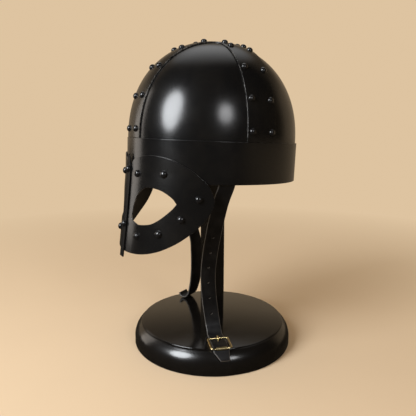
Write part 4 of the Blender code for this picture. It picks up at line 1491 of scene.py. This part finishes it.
def sky(studio):
    """Pale surroundings, dim on the camera's side, with a soft ceiling for the gloss to catch."""
    world = bpy.data.worlds.new("pale_studio")
    bpy.context.scene.world = world
    world.use_nodes = True
    tree = world.node_tree
    ground = tree.nodes["Background"]
    place = node(tree, "TexCoord", "Generated", {})
    camera_turn = math.degrees(studio.heading)
    wall = spread(tree, reach_along(tree, place, toward(camera_turn, 0)), *WALL_FADE)
    low = spread(tree, reach_along(tree, place, UP), *WALL_RISE_FADE)
    wall = calculated(tree, "MULTIPLY", wall, low)
    behind = reach_along(tree, place, toward(camera_turn - 180, CEILING_RISE))
    ceiling = spread(tree, behind, *CEILING_FADE)
    both = calculated(tree, "ADD", wall, ceiling)
    glossy = node(tree, "LightPath", "Is Glossy Ray", {})
    direct = node(tree, "LightPath", "Is Camera Ray", {})
    mirrored = blend_numbers(tree, glossy, DIFFUSE_GLOW, both)
    feed(tree, ground.inputs["Strength"], blend_numbers(tree, direct, mirrored, 1.0))
    above = blend_numbers(tree, glossy, 0.0, spread(tree, ceiling, *TINT_FADE))
    tint = blend_colours(tree, above, studio.wall, studio.ceiling)
    feed(tree, ground.inputs["Color"], tint)


def floor_finish(studio):
    """Pale paper that turns into the surroundings' own glow as it runs away from the object."""
    made, tree, shader, place = start_finish("pale_floor")
    paper = noise(tree, place, 9.0, 4.0)
    darker = shaded(studio.floor, 0.96)
    feed(tree, shader.inputs["Base Color"], blend_colours(tree, paper, studio.floor, darker))
    shader.inputs["Roughness"].default_value = 0.8
    shader.inputs["Specular IOR Level"].default_value = 0.2
    mirrored = node(tree, "LightPath", "Is Glossy Ray", {})
    # In reflections the whole floor glows as a painted reflection, fading out towards the gleam's
    # turn
    gleam = spread(tree, reach_along(tree, place, toward(GLEAM_TURN, 0)), *GLEAM_FADE)
    strength = blend_numbers(tree, mirrored, 1.0, gleam)
    inputs = {"Color": (*studio.wall, 1.0), "Strength": strength}
    glow = node(tree, "Emission", "Emission", inputs)
    reach = node(tree, "VectorMath", "Value", {0: place}, operation="LENGTH")
    far = blend_numbers(tree, mirrored, spread(tree, reach, *FLOOR_FADE), 1.0)
    mixed = node(tree, "MixShader", "Shader", {0: far, 1: shader.outputs[0], 2: glow})
    feed(tree, tree.nodes["Material Output"].inputs["Surface"], mixed)
    return made


def add_floor(scene, studio):
    mesh = bpy.data.meshes.new("pale_floor")
    points = [Vector((0.0, 0.0, 0.0))] + circle(FLOOR_SIDES, studio.floor_radius)
    mesh.from_pydata([tuple(point) for point in points], [], fan(1, FLOOR_SIDES, 0))
    mesh.materials.append(floor_finish(studio))
    floor = bpy.data.objects.new("pale_floor", mesh)
    scene.collection.objects.link(floor)


def add_lights(scene, studio):
    aim = Vector(LIGHT_AIM)
    for name, setting, turn, rise, distance, width, height, tint in LIGHTS:
        light = bpy.data.lights.new(name, "AREA")
        light.shape = "ELLIPSE"
        light.size = width
        light.size_y = height
        light.energy = getattr(studio, setting)
        light.color = tint
        lamp = bpy.data.objects.new(name, light)
        scene.collection.objects.link(lamp)
        place = aim + distance * toward(turn, rise)
        lamp.location = place
        lamp.rotation_euler = (place - aim).to_track_quat("Z", "Y").to_euler()


def add_camera(scene, studio):
    lens = bpy.data.cameras.new("photo_camera")
    lens.lens = studio.lens
    lens.sensor_width = 36.0
    lens.shift_x = studio.shift
    lens.clip_start = 0.01
    camera = bpy.data.objects.new("photo_camera", lens)
    scene.collection.objects.link(camera)
    camera.matrix_world = (
        Matrix.Translation(studio.camera)
        @ Matrix.Rotation(studio.heading, 4, "Z")
        @ Matrix.Rotation(math.pi / 2 - studio.tilt, 4, "X")
        @ Matrix.Rotation(studio.roll, 4, "Z")
    )
    scene.camera = camera


class HELMET_OT_stage(bpy.types.Operator):
    """Build the floor, the lights and the camera"""

    bl_idname = "helmet.stage"
    bl_label = "Stage"

    def execute(self, context):
        scene = context.scene
        studio = scene.helmet_studio
        add_floor(scene, studio)
        sky(studio)
        add_lights(scene, studio)
        add_camera(scene, studio)
        scene.view_settings.view_transform = "Standard"
        return {"FINISHED"}


PIECES = (
    HELMET_OT_skull,
    HELMET_OT_brow_band,
    HELMET_OT_crossing_bands,
    HELMET_OT_band_rivets,
    HELMET_OT_eye_guard,
    HELMET_OT_nasal_bar,
    HELMET_OT_guard_rivets,
    HELMET_OT_left_strap,
    HELMET_OT_right_strap,
    HELMET_OT_buckle,
    HELMET_OT_stand,
    HELMET_OT_stage,
)

SIZES = {
    "helmet_shell": HelmetShellSizes,
    "helmet_bands": HelmetBandSizes,
    "helmet_guard": HelmetGuardSizes,
    "helmet_strap": HelmetStrapSizes,
    "helmet_buckle": HelmetBuckleSizes,
    "helmet_stand": HelmetStandSizes,
    "helmet_finishes": HelmetFinishes,
    "helmet_studio": HelmetStudio,
}


class HELMET_PT_pieces(bpy.types.Panel):
    """The helmet's pieces in the order in which they are built"""

    bl_idname = "HELMET_PT_pieces"
    bl_label = "Helmet pieces"
    bl_space_type = "VIEW_3D"
    bl_region_type = "UI"
    bl_category = "Helmet"

    def draw(self, context):
        for piece in PIECES:
            self.layout.operator(piece.bl_idname)


def register():
    for name, group in SIZES.items():
        bpy.utils.register_class(group)
        setattr(bpy.types.Scene, name, PointerProperty(type=group))
    for piece in PIECES:
        bpy.utils.register_class(piece)
    bpy.utils.register_class(HELMET_PT_pieces)


def unregister():
    bpy.utils.unregister_class(HELMET_PT_pieces)
    for piece in reversed(PIECES):
        bpy.utils.unregister_class(piece)
    for name, group in SIZES.items():
        delattr(bpy.types.Scene, name)
        bpy.utils.unregister_class(group)


def main():
    register()
    bpy.ops.helmet.skull()
    bpy.ops.helmet.brow_band()
    bpy.ops.helmet.crossing_bands()
    bpy.ops.helmet.band_rivets()
    bpy.ops.helmet.eye_guard()
    bpy.ops.helmet.nasal_bar()
    bpy.ops.helmet.guard_rivets()
    bpy.ops.helmet.left_strap()
    bpy.ops.helmet.right_strap()
    bpy.ops.helmet.buckle()
    bpy.ops.helmet.stand()
    bpy.ops.helmet.stage()


if __name__ == "__main__":
    main()
